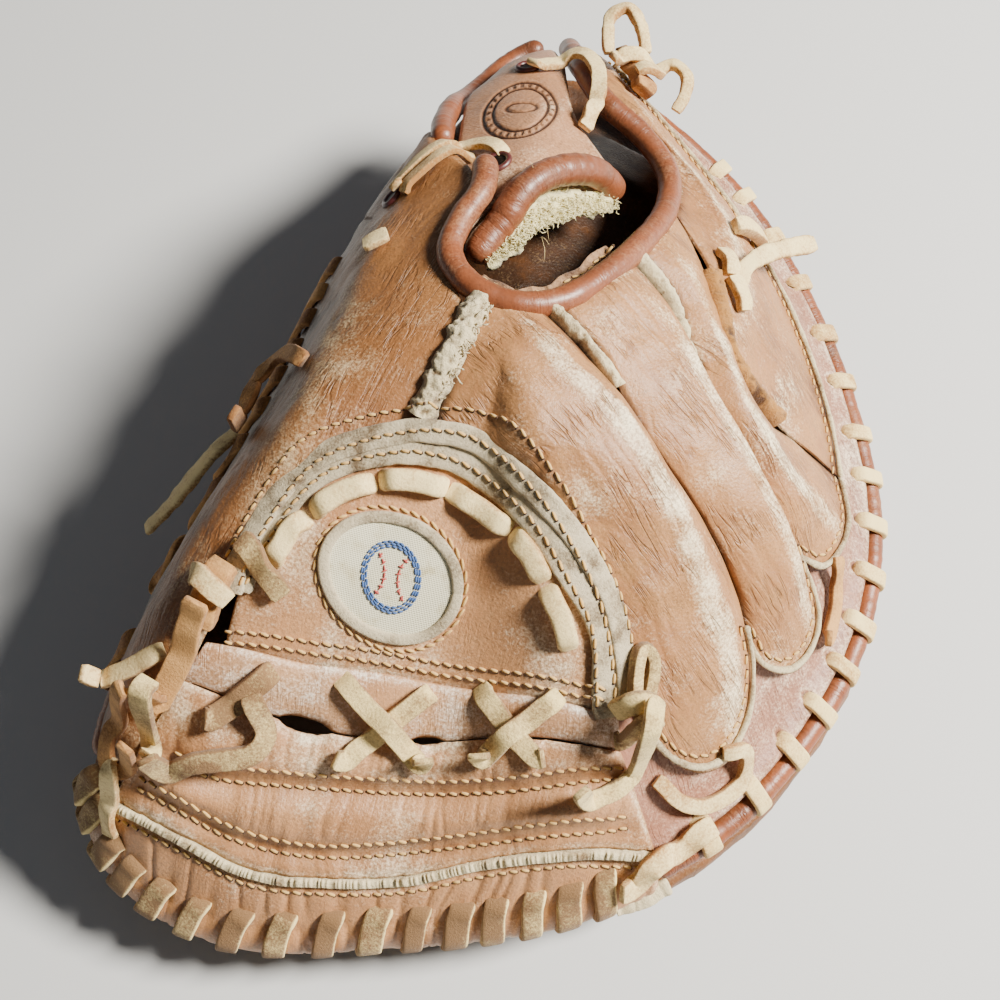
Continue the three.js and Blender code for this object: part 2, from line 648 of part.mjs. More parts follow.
// Back of the hand
function fingers() {
  const welt = 2.5;
  const indexLeft = line([
    thumbSeam(0), [-11, 6], [-13, -4], [-8, -11], [0, -13], [14, -21], [27, -34], [37, -48], [44, -60],
    [50, -68],
  ]);
  add("index_back", panel({
    left: indexLeft,
    right: indexSeam,
    near: openingEdge(thumbAt, indexAt),
    far: bowed(indexLeft(1), indexSeam(1), 14),
  }, {
    along: 12,
    across: 6,
    puff: padding([1, 4, 7, 9, 10, 10, 9, 7, 5, 1]),
    margins: { outer: welt, start: 0, end: 0 },
  }), "leather");

  const middleLeft = line([indexSeam(0), ...INDEX_SEAM.slice(1, -1), [74, -35]]);
  add("middle_back", panel({
    left: middleLeft,
    right: middleSeam,
    near: openingEdge(indexAt, middleAt),
    far: bowed(middleLeft(1), middleSeam(1), 10),
  }, {
    along: 10,
    across: 6,
    puff: padding([1, 3, 6, 8, 9, 8, 6, 1]),
    margins: { inner: welt, outer: welt, start: 0, end: 0 },
  }), "leather");

  const ringLeft = line([middleSeam(0), ...MIDDLE_SEAM.slice(1, -1), [88, -8]]);
  add("ring_back", panel({
    left: ringLeft,
    right: ringSeam,
    near: openingEdge(middleAt, ringAt),
    far: bowed(ringLeft(1), ringSeam(1), 6),
  }, {
    along: 12,
    across: 6,
    puff: padding([1, 3, 5, 7, 7, 6, 1]),
    margins: { inner: welt, outer: welt, start: 0, end: 0 },
  }), "leather");

  const littleEnd = openingSide(1);
  add("little_back", panel({
    left: openingEdge(ringAt, 1),
    right: line(FINGER_EDGE),
    near: ringSeam,
    far: line([littleEnd, FINGER_EDGE[FINGER_EDGE.length - 1]]),
  }, {
    along: 15,
    across: 8,
    puff: padding([1, 3, 4, 4, 3, 2, 1]),
    margins: { inner: 1.4, outer: 0, start: welt, end: 1.5 },
  }), "leather");

  const fleecy = [0.03, 0.5, 0.88].map((t) => [...thumbSeam(t), 3.2]);
  add("thumb_welt", strip(overSkin(fleecy, 4), flat(8.4, 2.4)), "suede");
  const welts = { index_welt: indexSeam, middle_welt: middleSeam, ring_welt: ringSeam };
  for (const [name, seam] of Object.entries(welts)) {
    const rows = [0.08, 0.3, 0.5, 0.75, 0.94].map((t) => [...seam(t), 0.8]);
    add(name, strip(overSkin(rows, 9), flat(2.6, 4)), "suede");
  }
}

function thumb() {
  const inner = line([
    [-34.4, 96], [-33.6, 90], [-30.6, 82.5], [-26, 75], [-21, 66], [-20, 56], [-24, 47],
    openingSide(thumbAt - 0.1), openingSide(thumbAt - 0.04), thumbSeam(0.25), thumbSeam(0.6), thumbSeam(1),
    ...ARCH.slice(0, 4).reverse(), ...WEB_LEFT.slice(1, 4),
  ]);
  const outer = rimLine(124, 227);
  add("thumb_back", panel({
    left: inner,
    right: outer,
    near: line([inner(0), outer(0)]),
    far: line([inner(1), outer(1)]),
  }, {
    along: 22,
    across: 6,
    puff: (u, v) => 4 * rounded(u) * Math.min(1, Math.max(0, (v - 0.35) * 4)) * Math.min(1, (1 - v) * 5),
    margins: { inner: 2.7, outer: 0.4, start: 0, end: 0 },
  }), "leather");
}

// Wrist
function wrist() {
  add("opening_binding", strip(overSkin(OPENING.map(([x, y]) => [x, y, 0.6]), 44), round(BINDING)), "binding");
  add("heel_binding", strip(overSkin(HEEL_EDGE.map(([x, y]) => [x, y, 0.8]), 14), round(BINDING)), "binding");
  const roll = 4.4;
  add("strap_binding", strip(overSkin(STRAP_EDGE, 12), round(roll)), "binding");
  const shift = ([x, y], by) => [x - by * 0.7, y + by * 0.7];
  const near = line(STRAP_EDGE.map((p) => shift(p, roll + 1)));
  const far = line([[-18, 138], [-12, 139], [-6, 138]]);
  const left = line([near(0), [-22, 62], [-27, 78], [-29, 98], [-26, 120], far(0)]);
  const right = line([near(1), [13, 96], [7, 106], [1, 122], far(1)]);
  add("wrist_strap", panel({ near, far, left, right }, { along: 10, across: 6, low: -6.6 }), "leather");
  const liningFar = line([left(0.35), [-8, 86], right(0.35)]);
  const liningNear = line(STRAP_EDGE.slice(2, -1).map((p) => shift(p, -8)));
  add("strap_fleece", panel({
    near: liningNear,
    far: liningFar,
    left: line([liningNear(0), liningFar(0)]),
    right: line([liningNear(1), liningFar(1)]),
  }, { along: 4, across: 6, low: -11.9, thick: 3.5 }), "fleece");
}

// Web
function web() {
  const arch = line(ARCH);
  const left = line(WEB_LEFT);
  const right = line(WEB_RIGHT);
  const seam = line(WEB_SEAM);
  const slot = line(WEB_SLOT);
  const fringe = line(WEB_FRINGE);
  const edge = rimLine(233, 293, 1.1);
  const sides = (from, to) => ({
    near: from,
    far: to,
    left: line([from(0), to(0)]),
    right: line([from(1), to(1)]),
  });
  const archMiddle = (t) => arch(0.07 + 0.86 * t);
  const seamMiddle = (t) => seam(0.03 + 0.94 * t);
  add("web_panel", panel(sides(archMiddle, seamMiddle), {
    along: 6,
    across: 14,
    margins: { start: 1.5, inner: 3, outer: 3, end: 0.4 },
  }), "leather");
  add("web_strip", panel(sides(seam, slot), {
    along: 2,
    across: 10,
    margins: { start: 0.2, end: 1.2 },
  }), "leather");
  add("web_bar", panel(sides(slot, fringe), {
    along: 8,
    across: 10,
    puff: (u, v) => 3.2 * Math.abs(Math.sin(2 * Math.PI * v ** 0.8)) * Math.min(1, 8 * u * (1 - u) + 0.3),
    margins: { start: 1.2, end: 2.3 },
  }), "leather");
  add("web_edge", panel(sides(fringe, edge), {
    along: 2,
    across: 12,
    margins: { start: 2.3, inner: 3, outer: 1 },
  }), "leather");
  add("web_arch_band", strip(overSkin(ARCH.map(([x, y]) => [x, y, 3.5]), 18), flat(9, 2.2)), "suede");
  add("web_fringe", strip(overSkin(WEB_FRINGE.map(([x, y]) => [x, y, 0.8]), 12), flat(3.8, 4)), "suede");
}

// The two straps of a crossed lace, joined where they cross.
function crossLace(straps) {
  const [first, second] = straps.map(([from, to], i) => {
    const middle = [(from[0] + to[0]) / 2, (from[1] + to[1]) / 2, i * LACE_THICK * 0.5];
    return solid(strip(lying([from, middle, to], 4), flat()));
  });
  return geometryOf(first.add(second));
}

// The oval patch: a suede ring round a low cloth field.
function patch() {
  const oval = (scale, degrees) => {
    const a = THREE.MathUtils.degToRad(degrees);
    return [PATCH.x + PATCH.along * scale * Math.cos(a), PATCH.y + PATCH.across * scale * Math.sin(a)];
  };
  const ringPath = Array.from({ length: 24 }, (_, i) => {
    const [x, y] = oval(1.1, i * 15);
    return { at: skin(x, y, PATCH.over + GAP + 1), up: outward(x, y) };
  });
  add("patch_ring", strip(ringPath, flat(2.6, 2), true), "suede");
  const rows = Array.from({ length: 9 }, (_, i) => {
    const a = 10 + i * 20;
    const [x, y] = oval(0.9, a);
    const half = PATCH.y - y;
    const at = (s, over) => skin(x, PATCH.y + half * s, over);
    const low = PATCH.over + GAP;
    return [at(-1, low + 1), at(0, low + 1.8), at(1, low + 1), at(1, low), at(0, low), at(-1, low)];
  });
  add("web_patch", loft(rows), "cloth");
}

function laces() {
  for (const [name, { rows, steps, width, thick }] of Object.entries(SKIN_LACES)) {
    add(name, strip(lying(rows, steps, { width, thick }), flat(width, thick)), "rawhide");
  }
  for (const [name, straps] of Object.entries(CROSS_LACES)) add(name, crossLace(straps), "rawhide");
  for (const [name, { rows, steps, up }] of Object.entries(FREE_LACES)) {
    add(name, strip(free(rows, steps, up), flat(5, 3.4)), "rawhide");
  }
}

palm();
rim();
thumb();
fingers();
wrist();
web();
patch();
laces();
mitt.position.set(-CENTRE.x, -CENTRE.y, 0);
export default mitt;
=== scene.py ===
import math

import bmesh
import bpy
import numpy as np
from mathutils import Matrix, Vector
from mathutils.bvhtree import BVHTree


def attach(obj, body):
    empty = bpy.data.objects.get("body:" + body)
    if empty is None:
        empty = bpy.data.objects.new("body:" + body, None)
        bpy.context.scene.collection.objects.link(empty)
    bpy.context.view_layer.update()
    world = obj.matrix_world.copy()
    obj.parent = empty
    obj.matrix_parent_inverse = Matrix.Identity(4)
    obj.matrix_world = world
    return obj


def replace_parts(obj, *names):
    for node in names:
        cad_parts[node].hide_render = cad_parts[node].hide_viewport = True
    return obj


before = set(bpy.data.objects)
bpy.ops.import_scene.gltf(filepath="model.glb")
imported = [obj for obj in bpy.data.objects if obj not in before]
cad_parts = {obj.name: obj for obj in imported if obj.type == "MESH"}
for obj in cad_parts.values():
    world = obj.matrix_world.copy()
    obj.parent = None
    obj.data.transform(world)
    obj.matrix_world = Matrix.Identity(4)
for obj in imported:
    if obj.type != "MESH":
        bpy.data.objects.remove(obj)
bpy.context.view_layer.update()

# The mitt lies on a pale floor and is seen from close above its web, looking towards the heel.
# A soft round lamp stands beyond the fingers, and a weak pale sky fills the shadows.
VIEW_TARGET = Vector((-0.008, -0.017, 0.048))
VIEW_TURN = math.radians(9)
VIEW_RISE = math.radians(64)
VIEW_AWAY = 0.41
VIEW_ANGLE = math.radians(40)
LAMP_TURN = math.radians(98)
LAMP_RISE = math.radians(45)
LAMP_AWAY = 1.3
LAMP_SIZE = 0.36
LAMP_POWER = 64.0
LAMP_COLOUR = (1.0, 0.95, 0.86)
SKY_COLOUR = (0.9, 0.94, 1.0, 1.0)
SKY_STRENGTH = 0.11
FLOOR_COLOUR = (0.62, 0.63, 0.64, 1.0)
FLOOR_SIDE = 3.0
FLOOR_ROUGHNESS = 0.8


def from_target(turn, rise, away):
    """A point this far from the view's target; turn 0 is on the web's side."""
    level = math.cos(rise)
    return VIEW_TARGET + away * Vector((math.sin(turn) * level, -math.cos(turn) * level, math.sin(rise)))


def aimed(thing, place):
    """Puts a camera or a lamp in its place, turned to the view's target."""
    thing.location = place
    thing.rotation_euler = (VIEW_TARGET - place).to_track_quat("-Z", "Y").to_euler()
    bpy.context.scene.collection.objects.link(thing)
    return thing


camera = bpy.data.objects.new("view", bpy.data.cameras.new("view"))
camera.data.angle = VIEW_ANGLE
camera.data.clip_start = 0.01
aimed(camera, from_target(VIEW_TURN, VIEW_RISE, VIEW_AWAY))
bpy.context.scene.camera = camera

lamp = bpy.data.objects.new("lamp", bpy.data.lights.new("lamp", "AREA"))
lamp.data.shape = "DISK"
lamp.data.size = LAMP_SIZE
lamp.data.energy = LAMP_POWER
lamp.data.color = LAMP_COLOUR
aimed(lamp, from_target(LAMP_TURN, LAMP_RISE, LAMP_AWAY))

sky = bpy.data.worlds.new("sky")
sky.use_nodes = True
sky.node_tree.nodes["Background"].inputs["Color"].default_value = SKY_COLOUR
sky.node_tree.nodes["Background"].inputs["Strength"].default_value = SKY_STRENGTH
bpy.context.scene.world = sky


def mesh_of(name, shape):
    """A mesh made from a shape that is worked on no more."""
    mesh = bpy.data.meshes.new(name)
    shape.to_mesh(mesh)
    shape.free()
    return mesh


def new_finish(name):
    """A blank material, with its node tree and its main shader."""
    finish = bpy.data.materials.new(name)
    finish.use_nodes = True
    return finish, finish.node_tree, finish.node_tree.nodes["Principled BSDF"]


floor_shape = bmesh.new()
bmesh.ops.create_grid(floor_shape, x_segments=1, y_segments=1, size=FLOOR_SIDE / 2)
floor_mesh = mesh_of("floor", floor_shape)
floor = bpy.data.objects.new("floor", floor_mesh)
bpy.context.scene.collection.objects.link(floor)
floor_paint, _, floor_shader = new_finish("floor_paint")
floor_shader.inputs["Base Color"].default_value = FLOOR_COLOUR
floor_shader.inputs["Roughness"].default_value = FLOOR_ROUGHNESS
floor_mesh.materials.append(floor_paint)

# The padded palm lies underneath: tan leather over thick felt, moulded to a deep ball pocket and a hollow
# for the hand. Everything else is laid on the same form, a dome with one row of heights per direction.
MM = 0.001
TURN = 2 * math.pi
CENTRE = np.array((8.0, 17.0, 0.0))
CROWN = (0.0, 10.0, 118.0)
REACH = np.array((-0.25, 0, 0.25, 0.5, 0.75, 0.9, 1, 1.1))
# outline x, outline y, then the heights of the rim and at a quarter, half, three quarters and nine tenths
FORM = {
    "ring_side": (121, 24, 24, 108, 84, 54, 36),
    "ring_heel": (110, 63, 28, 110, 88, 58, 40),
    "little_side": (91, 101, 33, 112, 94, 66, 46),
    "little_heel": (65, 131, 43, 114, 100, 76, 56),
    "heel_right": (29, 152, 55, 118, 108, 88, 70),
    "heel": (-8, 170, 60, 120, 112, 92, 76),
    "heel_left": (-35, 136, 62, 119, 113, 98, 82),
    "wrist_left": (-47, 98, 60, 119, 114, 102, 87),
    "wrist_side": (-65, 55, 48, 118, 112, 96, 77),
    "thumb_base": (-79, 3, 40, 117, 110, 91, 69),
    "thumb_mid": (-93, -39, 28, 114, 105, 84, 60),
    "thumb_side": (-104, -73, 28, 110, 98, 78, 56),
    "thumb_tip": (-104, -103, 28, 106, 93, 74, 54),
    "thumb_corner": (-96, -120, 19, 104, 88, 66, 44),
    "web_left": (-70, -134, 16, 100, 78, 52, 34),
    "web_mid": (-8, -129, 15, 98, 72, 46, 31),
    "web_right": (59, -105, 20, 107, 85, 58, 37),
    "index_tip": (81, -87, 24, 106, 80, 54, 36),
    "middle_tip": (103, -57, 24, 105, 80, 52, 35),
    "middle_side": (119, -17, 24, 106, 82, 52, 35),
}


def ease(t, v, at):
    """A cubic from v[1] to v[2], with each slope taken over its two neighbours."""
    span = t[2] - t[1]
    s = (at - t[1]) / span
    here = (v[2] - v[1]) / span
    start = ((v[1] - v[0]) / (t[1] - t[0]) + here) / 2
    end = (here + (v[3] - v[2]) / (t[3] - t[2])) / 2
    return ((2 * s**3 - 3 * s**2 + 1) * v[1] + (s**3 - 2 * s**2 + s) * span * start
            + (3 * s**2 - 2 * s**3) * v[2] + (s**3 - s**2) * span * end)


form_rows = np.array(list(FORM.values()), float)
form_x = form_rows[:, 0] - CROWN[0]
form_y = form_rows[:, 1] - CROWN[1]
form_rows = np.column_stack([np.hypot(form_x, form_y), form_rows[:, [3, 4, 5, 6, 2]]])
form_angles = np.arctan2(form_y, form_x) % TURN
form_order = np.argsort(form_angles)
form_rows = form_rows[form_order]
form_angles = form_angles[form_order]
form_rows = np.concatenate([form_rows[-2:], form_rows, form_rows[:2]])
form_angles = np.concatenate([form_angles[-2:] - TURN, form_angles, form_angles[:2] + TURN])


def outline(angle):
    """Radius of the outline and the form's heights in these directions from the crown."""
    at = np.asarray(angle) % TURN
    i = np.searchsorted(form_angles, at, side="right")
    near = [i - 2, i - 1, i, i + 1]
    return ease([form_angles[k][..., None] for k in near], [form_rows[k] for k in near], at[..., None])


def height(x, y):
    """Height of the form at plan points, in millimetres."""
    across = np.asarray(x, float) - CROWN[0]
    along = np.asarray(y, float) - CROWN[1]
    row = outline(np.arctan2(along, across))
    reach = np.minimum(np.hypot(across, along) / row[..., 0], 1)
    top = np.full(reach.shape, CROWN[2])
    beyond = 2 * row[..., 5] - row[..., 4]
    levels = np.stack([row[..., 1], top, *(row[..., k] for k in range(1, 6)), beyond], -1)
    i = np.clip(np.searchsorted(REACH, reach, side="left"), 2, 6)
    near = [i - 2, i - 1, i, i + 1]
    picked = [np.take_along_axis(levels, k[..., None], -1)[..., 0] for k in near]
    return ease([REACH[k] for k in near], picked, reach)


def outward(x, y):
    """Unit direction out of the form's surface."""
    step = 2.0
    slope_x = (height(x + step, y) - height(x - step, y)) / (2 * step)
    slope_y = (height(x, y + step) - height(x, y - step)) / (2 * step)
    way = np.stack([-slope_x, -slope_y, np.ones_like(slope_x)], -1)
    return way / np.linalg.norm(way, axis=-1, keepdims=True)


def skin(x, y, over):
    """Points at this height over the form's surface, in millimetres."""
    x = np.asarray(x, float)
    y = np.asarray(y, float)
    return np.stack([x, y, height(x, y)], -1) + outward(x, y) * np.asarray(over, float)[..., None]


def placed(points):
    """Millimetres on the form to metres in the mitt's own frame."""
    return (np.asarray(points) - CENTRE) * MM


def rumple(x, y, size, seed):
    """Soft random heights from -1 to 1, with humps about this size across."""
    heights = np.random.default_rng(seed).uniform(-1, 1, (64, 64))
    u, v = np.asarray(x) / size, np.asarray(y) / size
    i, j = np.floor(u).astype(int), np.floor(v).astype(int)
    s, t = u - i, v - j
    s, t = s * s * (3 - 2 * s), t * t * (3 - 2 * t)
    at = lambda a, b: heights[(i + a) % 64, (j + b) % 64]
    return (at(0, 0) * (1 - s) * (1 - t) + at(1, 0) * s * (1 - t)
            + at(0, 1) * (1 - s) * t + at(1, 1) * s * t)


# how far a wrinkle is drawn out along and across the leather
WRINKLE_STRETCH = (0.07, 0.44, 1.0)


def seen(red, green, blue):
    """A colour as it is seen, 0 to 255, turned to the linear one that a shader takes."""
    return tuple(((c / 255 + 0.055) / 1.055) ** 2.4 for c in (red, green, blue)) + (1.0,)


def shader_node(tree, kind, feeds=None, **settings):
    """Adds a node; feeds holds a value or another node's socket for each of its inputs."""
    made = tree.nodes.new("ShaderNode" + kind)
    for name, value in settings.items():
        setattr(made, name, value)
    for name, value in (feeds or {}).items():
        if isinstance(value, bpy.types.NodeSocket):
            tree.links.new(value, made.inputs[name])
        else:
            made.inputs[name].default_value = value
    return made


def mixed(tree, share, first, second, blend="MIX"):
    """Colour mixed from two others by a share from 0 to 1."""
    made = shader_node(tree, "Mix", {0: share, 6: first, 7: second}, data_type="RGBA", blend_type=blend)
    return made.outputs[2]


def sums(tree, kind, first, second, third=0.0):
    """One value worked out from two or three others."""
    return shader_node(tree, "Math", {0: first, 1: second, 2: third}, operation=kind).outputs[0]


def less_half(tree, value):
    """A share from 0 to 1 turned to -0.5 to 0.5."""
    return sums(tree, "SUBTRACT", value, 0.5)


def added(tree, value, times, to):
    """A value taken so many times, and added to another."""
    return sums(tree, "MULTIPLY_ADD", value, times, to)


def product(tree, first, second):
    return sums(tree, "MULTIPLY", first, second)


def stepped(tree, value, low, high):
    """0 below low and 1 above high, smooth between."""
    return shader_node(tree, "MapRange", {"Value": value, "From Min": low, "From Max": high},
                       interpolation_type="SMOOTHSTEP").outputs[0]


def noise(tree, where, scale, detail, rough=0.5, twist=0.0):
    """Soft random values from 0 to 1."""
    feeds = {"Vector": where, "Scale": scale, "Detail": detail, "Roughness": rough, "Distortion": twist}
    return shader_node(tree, "TexNoise", feeds).outputs["Fac"]


def painted(tree, name):
    """A value painted on the piece's own points."""
    return shader_node(tree, "Attribute", attribute_name=name).outputs["Fac"]


def look_group(name, colours, amounts, results):
    """An empty node group with inputs for its colours and amounts, and its results as outputs."""
    tree = bpy.data.node_groups.new(name, "ShaderNodeTree")
    for names, way, kind in ((colours, "INPUT", "Color"), (amounts, "INPUT", "Float"),
                             (["Colour"], "OUTPUT", "Color"), (results, "OUTPUT", "Float")):
        for socket in names:
            tree.interface.new_socket(socket, in_out=way, socket_type="NodeSocket" + kind)
    return tree, tree.nodes.new("NodeGroupInput").outputs, shader_node(tree, "TexCoord").outputs["Object"]


def results_of(tree, **results):
    out = tree.nodes.new("NodeGroupOutput").inputs
    for name, value in results.items():
        tree.links.new(value, out[name])


def worn_leather_group():
    """Old leather: mottled, pale where it is rubbed and where highlights are painted, dark in its creases and
    where shade is painted, with a fine grain.
    """
    tree, given, where = look_group("worn_leather", ("Base", "Second", "Worn", "Dark"), (
        "Rubbed", "Wrinkle Turn", "Wrinkle Depth", "Grain Depth"), ("Roughness", "Height"))
    laid = shader_node(tree, "UVMap", uv_map="lie").outputs["UV"]
    clouds = noise(tree, where, 34, 2)
    mottle = noise(tree, where, 150, 5, 0.62)
    speck = noise(tree, where, 1300, 4, 0.7)
    pores = shader_node(tree, "TexVoronoi", {"Vector": where, "Scale": 1000}, feature="F1")
    turned = shader_node(tree, "VectorRotate", {"Vector": laid, "Angle": given["Wrinkle Turn"]},
                         rotation_type="Z_AXIS").outputs[0]
    stretched = shader_node(tree, "Mapping", {"Vector": turned, "Scale": WRINKLE_STRETCH}).outputs[0]
    folds = noise(tree, stretched, 1.0, 3, 0.5, 0.7)
    patches = stepped(tree, noise(tree, where, 70, 2), 0.4, 0.62)
    off_fold = stepped(tree, sums(tree, "ABSOLUTE", less_half(tree, folds), 0.0), 0.0, 0.075)
    valley = product(tree, sums(tree, "SUBTRACT", 1.0, off_fold), patches)
    wrinkled = product(tree, valley, given["Wrinkle Depth"])
    off_mottle, off_speck, off_clouds = (less_half(tree, value) for value in (mottle, speck, clouds))
    tone = added(tree, mottle, 0.45, added(tree, clouds, 0.35, product(tree, speck, 0.5)))
    base = mixed(tree, stepped(tree, tone, 0.5, 0.8), given["Base"], given["Second"])
    # The dark mask holds painted grime and painted shade: real dirt, and shade painted where shadow falls.
    grime_and_shade = added(tree, off_mottle, 0.9, painted(tree, "grime_and_shade"))
    grime_and_shade = added(tree, wrinkled, 0.3, grime_and_shade)
    grime_and_shade = added(tree, off_speck, 0.7, grime_and_shade)
    dirty_and_shaded = mixed(tree, stepped(tree, grime_and_shade, 0.12, 0.95), base, given["Dark"])
    # The pale mask holds wear and painted highlight: its fine pale speckle also stands in for glints of light.
    rub_and_highlight = added(tree, off_speck, 1.7, painted(tree, "wear_and_highlight"))
    rub_and_highlight = added(tree, off_mottle, 1.2, rub_and_highlight)
    rub_and_highlight = added(tree, off_clouds, 0.9, rub_and_highlight)
    rub_and_highlight = added(tree, wrinkled, -0.3, rub_and_highlight)
    rub_and_highlight = product(tree, stepped(tree, rub_and_highlight, 0.0, 1.2), given["Rubbed"])
    shade = added(tree, off_speck, 2.0, 0.96)
    shade = added(tree, off_mottle, 0.7, shade)
    shade = added(tree, wrinkled, -0.22, shade)
    colour = mixed(tree, rub_and_highlight, dirty_and_shaded, given["Worn"])
    colour = mixed(tree, 1.0, colour, sums(tree, "MINIMUM", shade, 1.15), "MULTIPLY")
    rough = added(tree, rub_and_highlight, 0.1, added(tree, mottle, 0.22, 0.32))
    grain = added(tree, pores.outputs["Distance"], 0.35, product(tree, speck, 0.9))
    grain = product(tree, grain, given["Grain Depth"])
    relief = added(tree, mottle, 0.8, added(tree, wrinkled, -1.1, grain))
    results_of(tree, Colour=colour, Roughness=rough, Height=relief)
    return tree


worn_leather = worn_leather_group()


def dressed(name, group, looks, bump, **settings):
    """A finish that shows a group's colour and relief, with these looks for the group's inputs."""
    finish, tree, shader = new_finish(name)
    look = shader_node(tree, "Group", node_tree=group)
    for socket, value in looks.items():
        look.inputs[socket].default_value = value
    tree.links.new(look.outputs["Colour"], shader.inputs["Base Color"])
    if "Roughness" in look.outputs:
        tree.links.new(look.outputs["Roughness"], shader.inputs["Roughness"])
    raised = shader_node(tree, "Bump", {"Height": look.outputs["Height"], "Distance": bump, "Strength": 1.0})
    tree.links.new(raised.outputs["Normal"], shader.inputs["Normal"])
    for socket, value in settings.items():
        shader.inputs[socket.replace("_", " ")].default_value = value
    return finish


def leather(name, base, second, worn, dark, rubbed, wrinkle, turn=0.0, grain=0.7, bump=0.00028, gloss=0.5,
            coat=0.0):
    """A leather finish of its own colours and wear."""
    looks = {"Base": seen(*base), "Second": seen(*second), "Worn": seen(*worn), "Dark": seen(*dark),
             "Rubbed": rubbed, "Wrinkle Turn": turn, "Wrinkle Depth": wrinkle, "Grain Depth": grain}
    return dressed(name, worn_leather, looks, bump, Specular_IOR_Level=gloss, Coat_Weight=coat,
                   Coat_Roughness=0.3)


def paint(mesh, name, values):
    """Values painted on a mesh's points."""
    layer = mesh.attributes.new(name, "FLOAT", "POINT")
    layer.data.foreach_set("value", np.ascontiguousarray(values, dtype=np.float32).ravel())


def shown(name, mesh, finish):
    """An object for a finished mesh, smooth shaded."""
    mesh.shade_smooth()
    mesh.materials.clear()
    mesh.materials.append(finish)
    piece = bpy.data.objects.new(name, mesh)
    bpy.context.scene.collection.objects.link(piece)
    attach(piece, "root")
    return piece


def points_of(mesh):
    flat = np.empty(len(mesh.vertices) * 3)
    mesh.vertices.foreach_get("co", flat)
    return flat.reshape(-1, 3)


def normals_of(mesh):
    flat = np.empty(len(mesh.vertices) * 3)
    mesh.vertex_normals.foreach_get("vector", flat)
    return flat.reshape(-1, 3)


PALM_VOXEL = 0.0023
PALM_SMOOTHING = 9
# height in mm up to which the palm is its flattened foot, and how far in metres that is pressed flat
PALM_FOOT = 3
PALM_PRESSED = 0.0006
palm_leather = leather("palm_leather", (146, 94, 52), (108, 66, 36), (202, 164, 114), (48, 29, 17),
                       rubbed=0.7, wrinkle=0.5, grain=0.9)


def padded_palm():
    """The palm's solid, softened, gathered at its sides and flat where it lies on the floor."""
    shape = bmesh.new()
    shape.from_mesh(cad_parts["palm_pad"].data)
    bmesh.ops.remove_doubles(shape, verts=shape.verts, dist=1e-6)
    core = bpy.data.objects.new("palm_core", mesh_of("palm_core", shape))
    bpy.context.scene.collection.objects.link(core)
    even = core.modifiers.new("even", "REMESH")
    even.mode = "VOXEL"
    even.voxel_size = PALM_VOXEL
    soft = core.modifiers.new("soft", "SMOOTH")
    soft.factor = 0.5
    soft.iterations = PALM_SMOOTHING
    seen_as = core.evaluated_get(bpy.context.evaluated_depsgraph_get())
    mesh = bpy.data.meshes.new_from_object(seen_as)
    bpy.data.objects.remove(core)
    at = points_of(mesh)
    out = normals_of(mesh)
    model = at / MM + CENTRE
    turn = np.arctan2(model[:, 1] - CROWN[1], model[:, 0] - CROWN[0])
    away = np.hypot(model[:, 0] - CROWN[0], model[:, 1] - CROWN[1])
    deep = height(model[:, 0], model[:, 1]) - model[:, 2]
    side = np.clip((np.hypot(out[:, 0], out[:, 1]) - 0.6) / 0.3, 0, 1) * (away > 60)
    gathers = rumple(turn * 100, model[:, 2] * 0.35, 7, 3) + 0.5 * rumple(turn * 100, model[:, 2], 3, 4)
    soft_folds = rumple(model[:, 0], model[:, 1], 26, 5)
    push = side * (0.7 * gathers - 0.6) + 0.5 * soft_folds * (model[:, 2] > PALM_FOOT)
    at += out * (push * MM)[:, None]
    low = at[:, 2].min() + PALM_PRESSED
    at[:, 2] = np.where(model[:, 2] < PALM_FOOT, np.maximum(at[:, 2] - low, 0.0), at[:, 2])
    mesh.vertices.foreach_set("co", at.ravel())
    inside = np.clip((deep - 12) / 10, 0, 1) * np.clip(out[:, 2] * 3, 0, 1)
    paint(mesh, "grime_and_shade", 0.25 + 0.5 * inside + 0.35 * np.clip(-gathers, 0, 1) * side)
    paint(mesh, "wear_and_highlight", 0.1 + 0.35 * side * np.clip(gathers, 0, 1) - 0.2 * inside)
    return shown("palm_shell", mesh, palm_leather)


palm = padded_palm()
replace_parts(palm, "palm_pad")

# A hard rolled edge runs round the rim, leather sewn over a cord core: orange brown along the fingers and
# thumb, hidden under close lacing along the web. Short creases cross it where it was pulled round.
ROLL = 4.0
ROLL_INSET = 5.6
ROLL_UNDER = 3.0
# node, first and last direction in degrees, how far its middle is inside the outline and under the form,
# radius and slot
RIM_ROLLS = (
    ("finger_rim_roll", -61, 83, 4.7, 3.2, 3.6, "binding"),
    ("thumb_rim_roll", 112, 226, ROLL_INSET, ROLL_UNDER, 3.9, "binding"),
    ("web_edge_roll", 228, 297, ROLL_INSET, ROLL_UNDER, 3.9, "leather"),
)


def slant(angle):
    """How much longer a step in from the outline is along the direction than square to the outline."""
    step = 0.02
    wide, narrow = outline(angle + step)[..., 0], outline(angle - step)[..., 0]
    return np.minimum(1.6, np.hypot(1, (wide - narrow) / (2 * step) / outline(angle)[..., 0]))


def rim_point(degrees, inset):
    """Plan points in these directions from the crown, this far inside the outline."""
    angle = np.radians(degrees)
    r = outline(angle)[..., 0] - inset * slant(angle)
    return np.stack([CROWN[0] + r * np.cos(angle), CROWN[1] + r * np.sin(angle)], -1)


def roll_middle(degrees, inset=ROLL_INSET, under=ROLL_UNDER):
    """The middle of the rim roll in these directions."""
    plan = rim_point(degrees, inset)
    return skin(plan[..., 0], plan[..., 1], -under)


def inset_of(x, y):
    """How far inside the outline plan points are."""
    across, along = np.asarray(x) - CROWN[0], np.asarray(y) - CROWN[1]
    angle = np.arctan2(along, across)
    return (outline(angle)[..., 0] - np.hypot(across, along)) / slant(angle)


def paces(run):
    """Length of each step along a run of points."""
    return np.linalg.norm(np.diff(run, axis=0), axis=1)


def way_gone(run):
    """Length of a run of points up to each of them."""
    return np.concatenate([[0], np.cumsum(paces(run))])


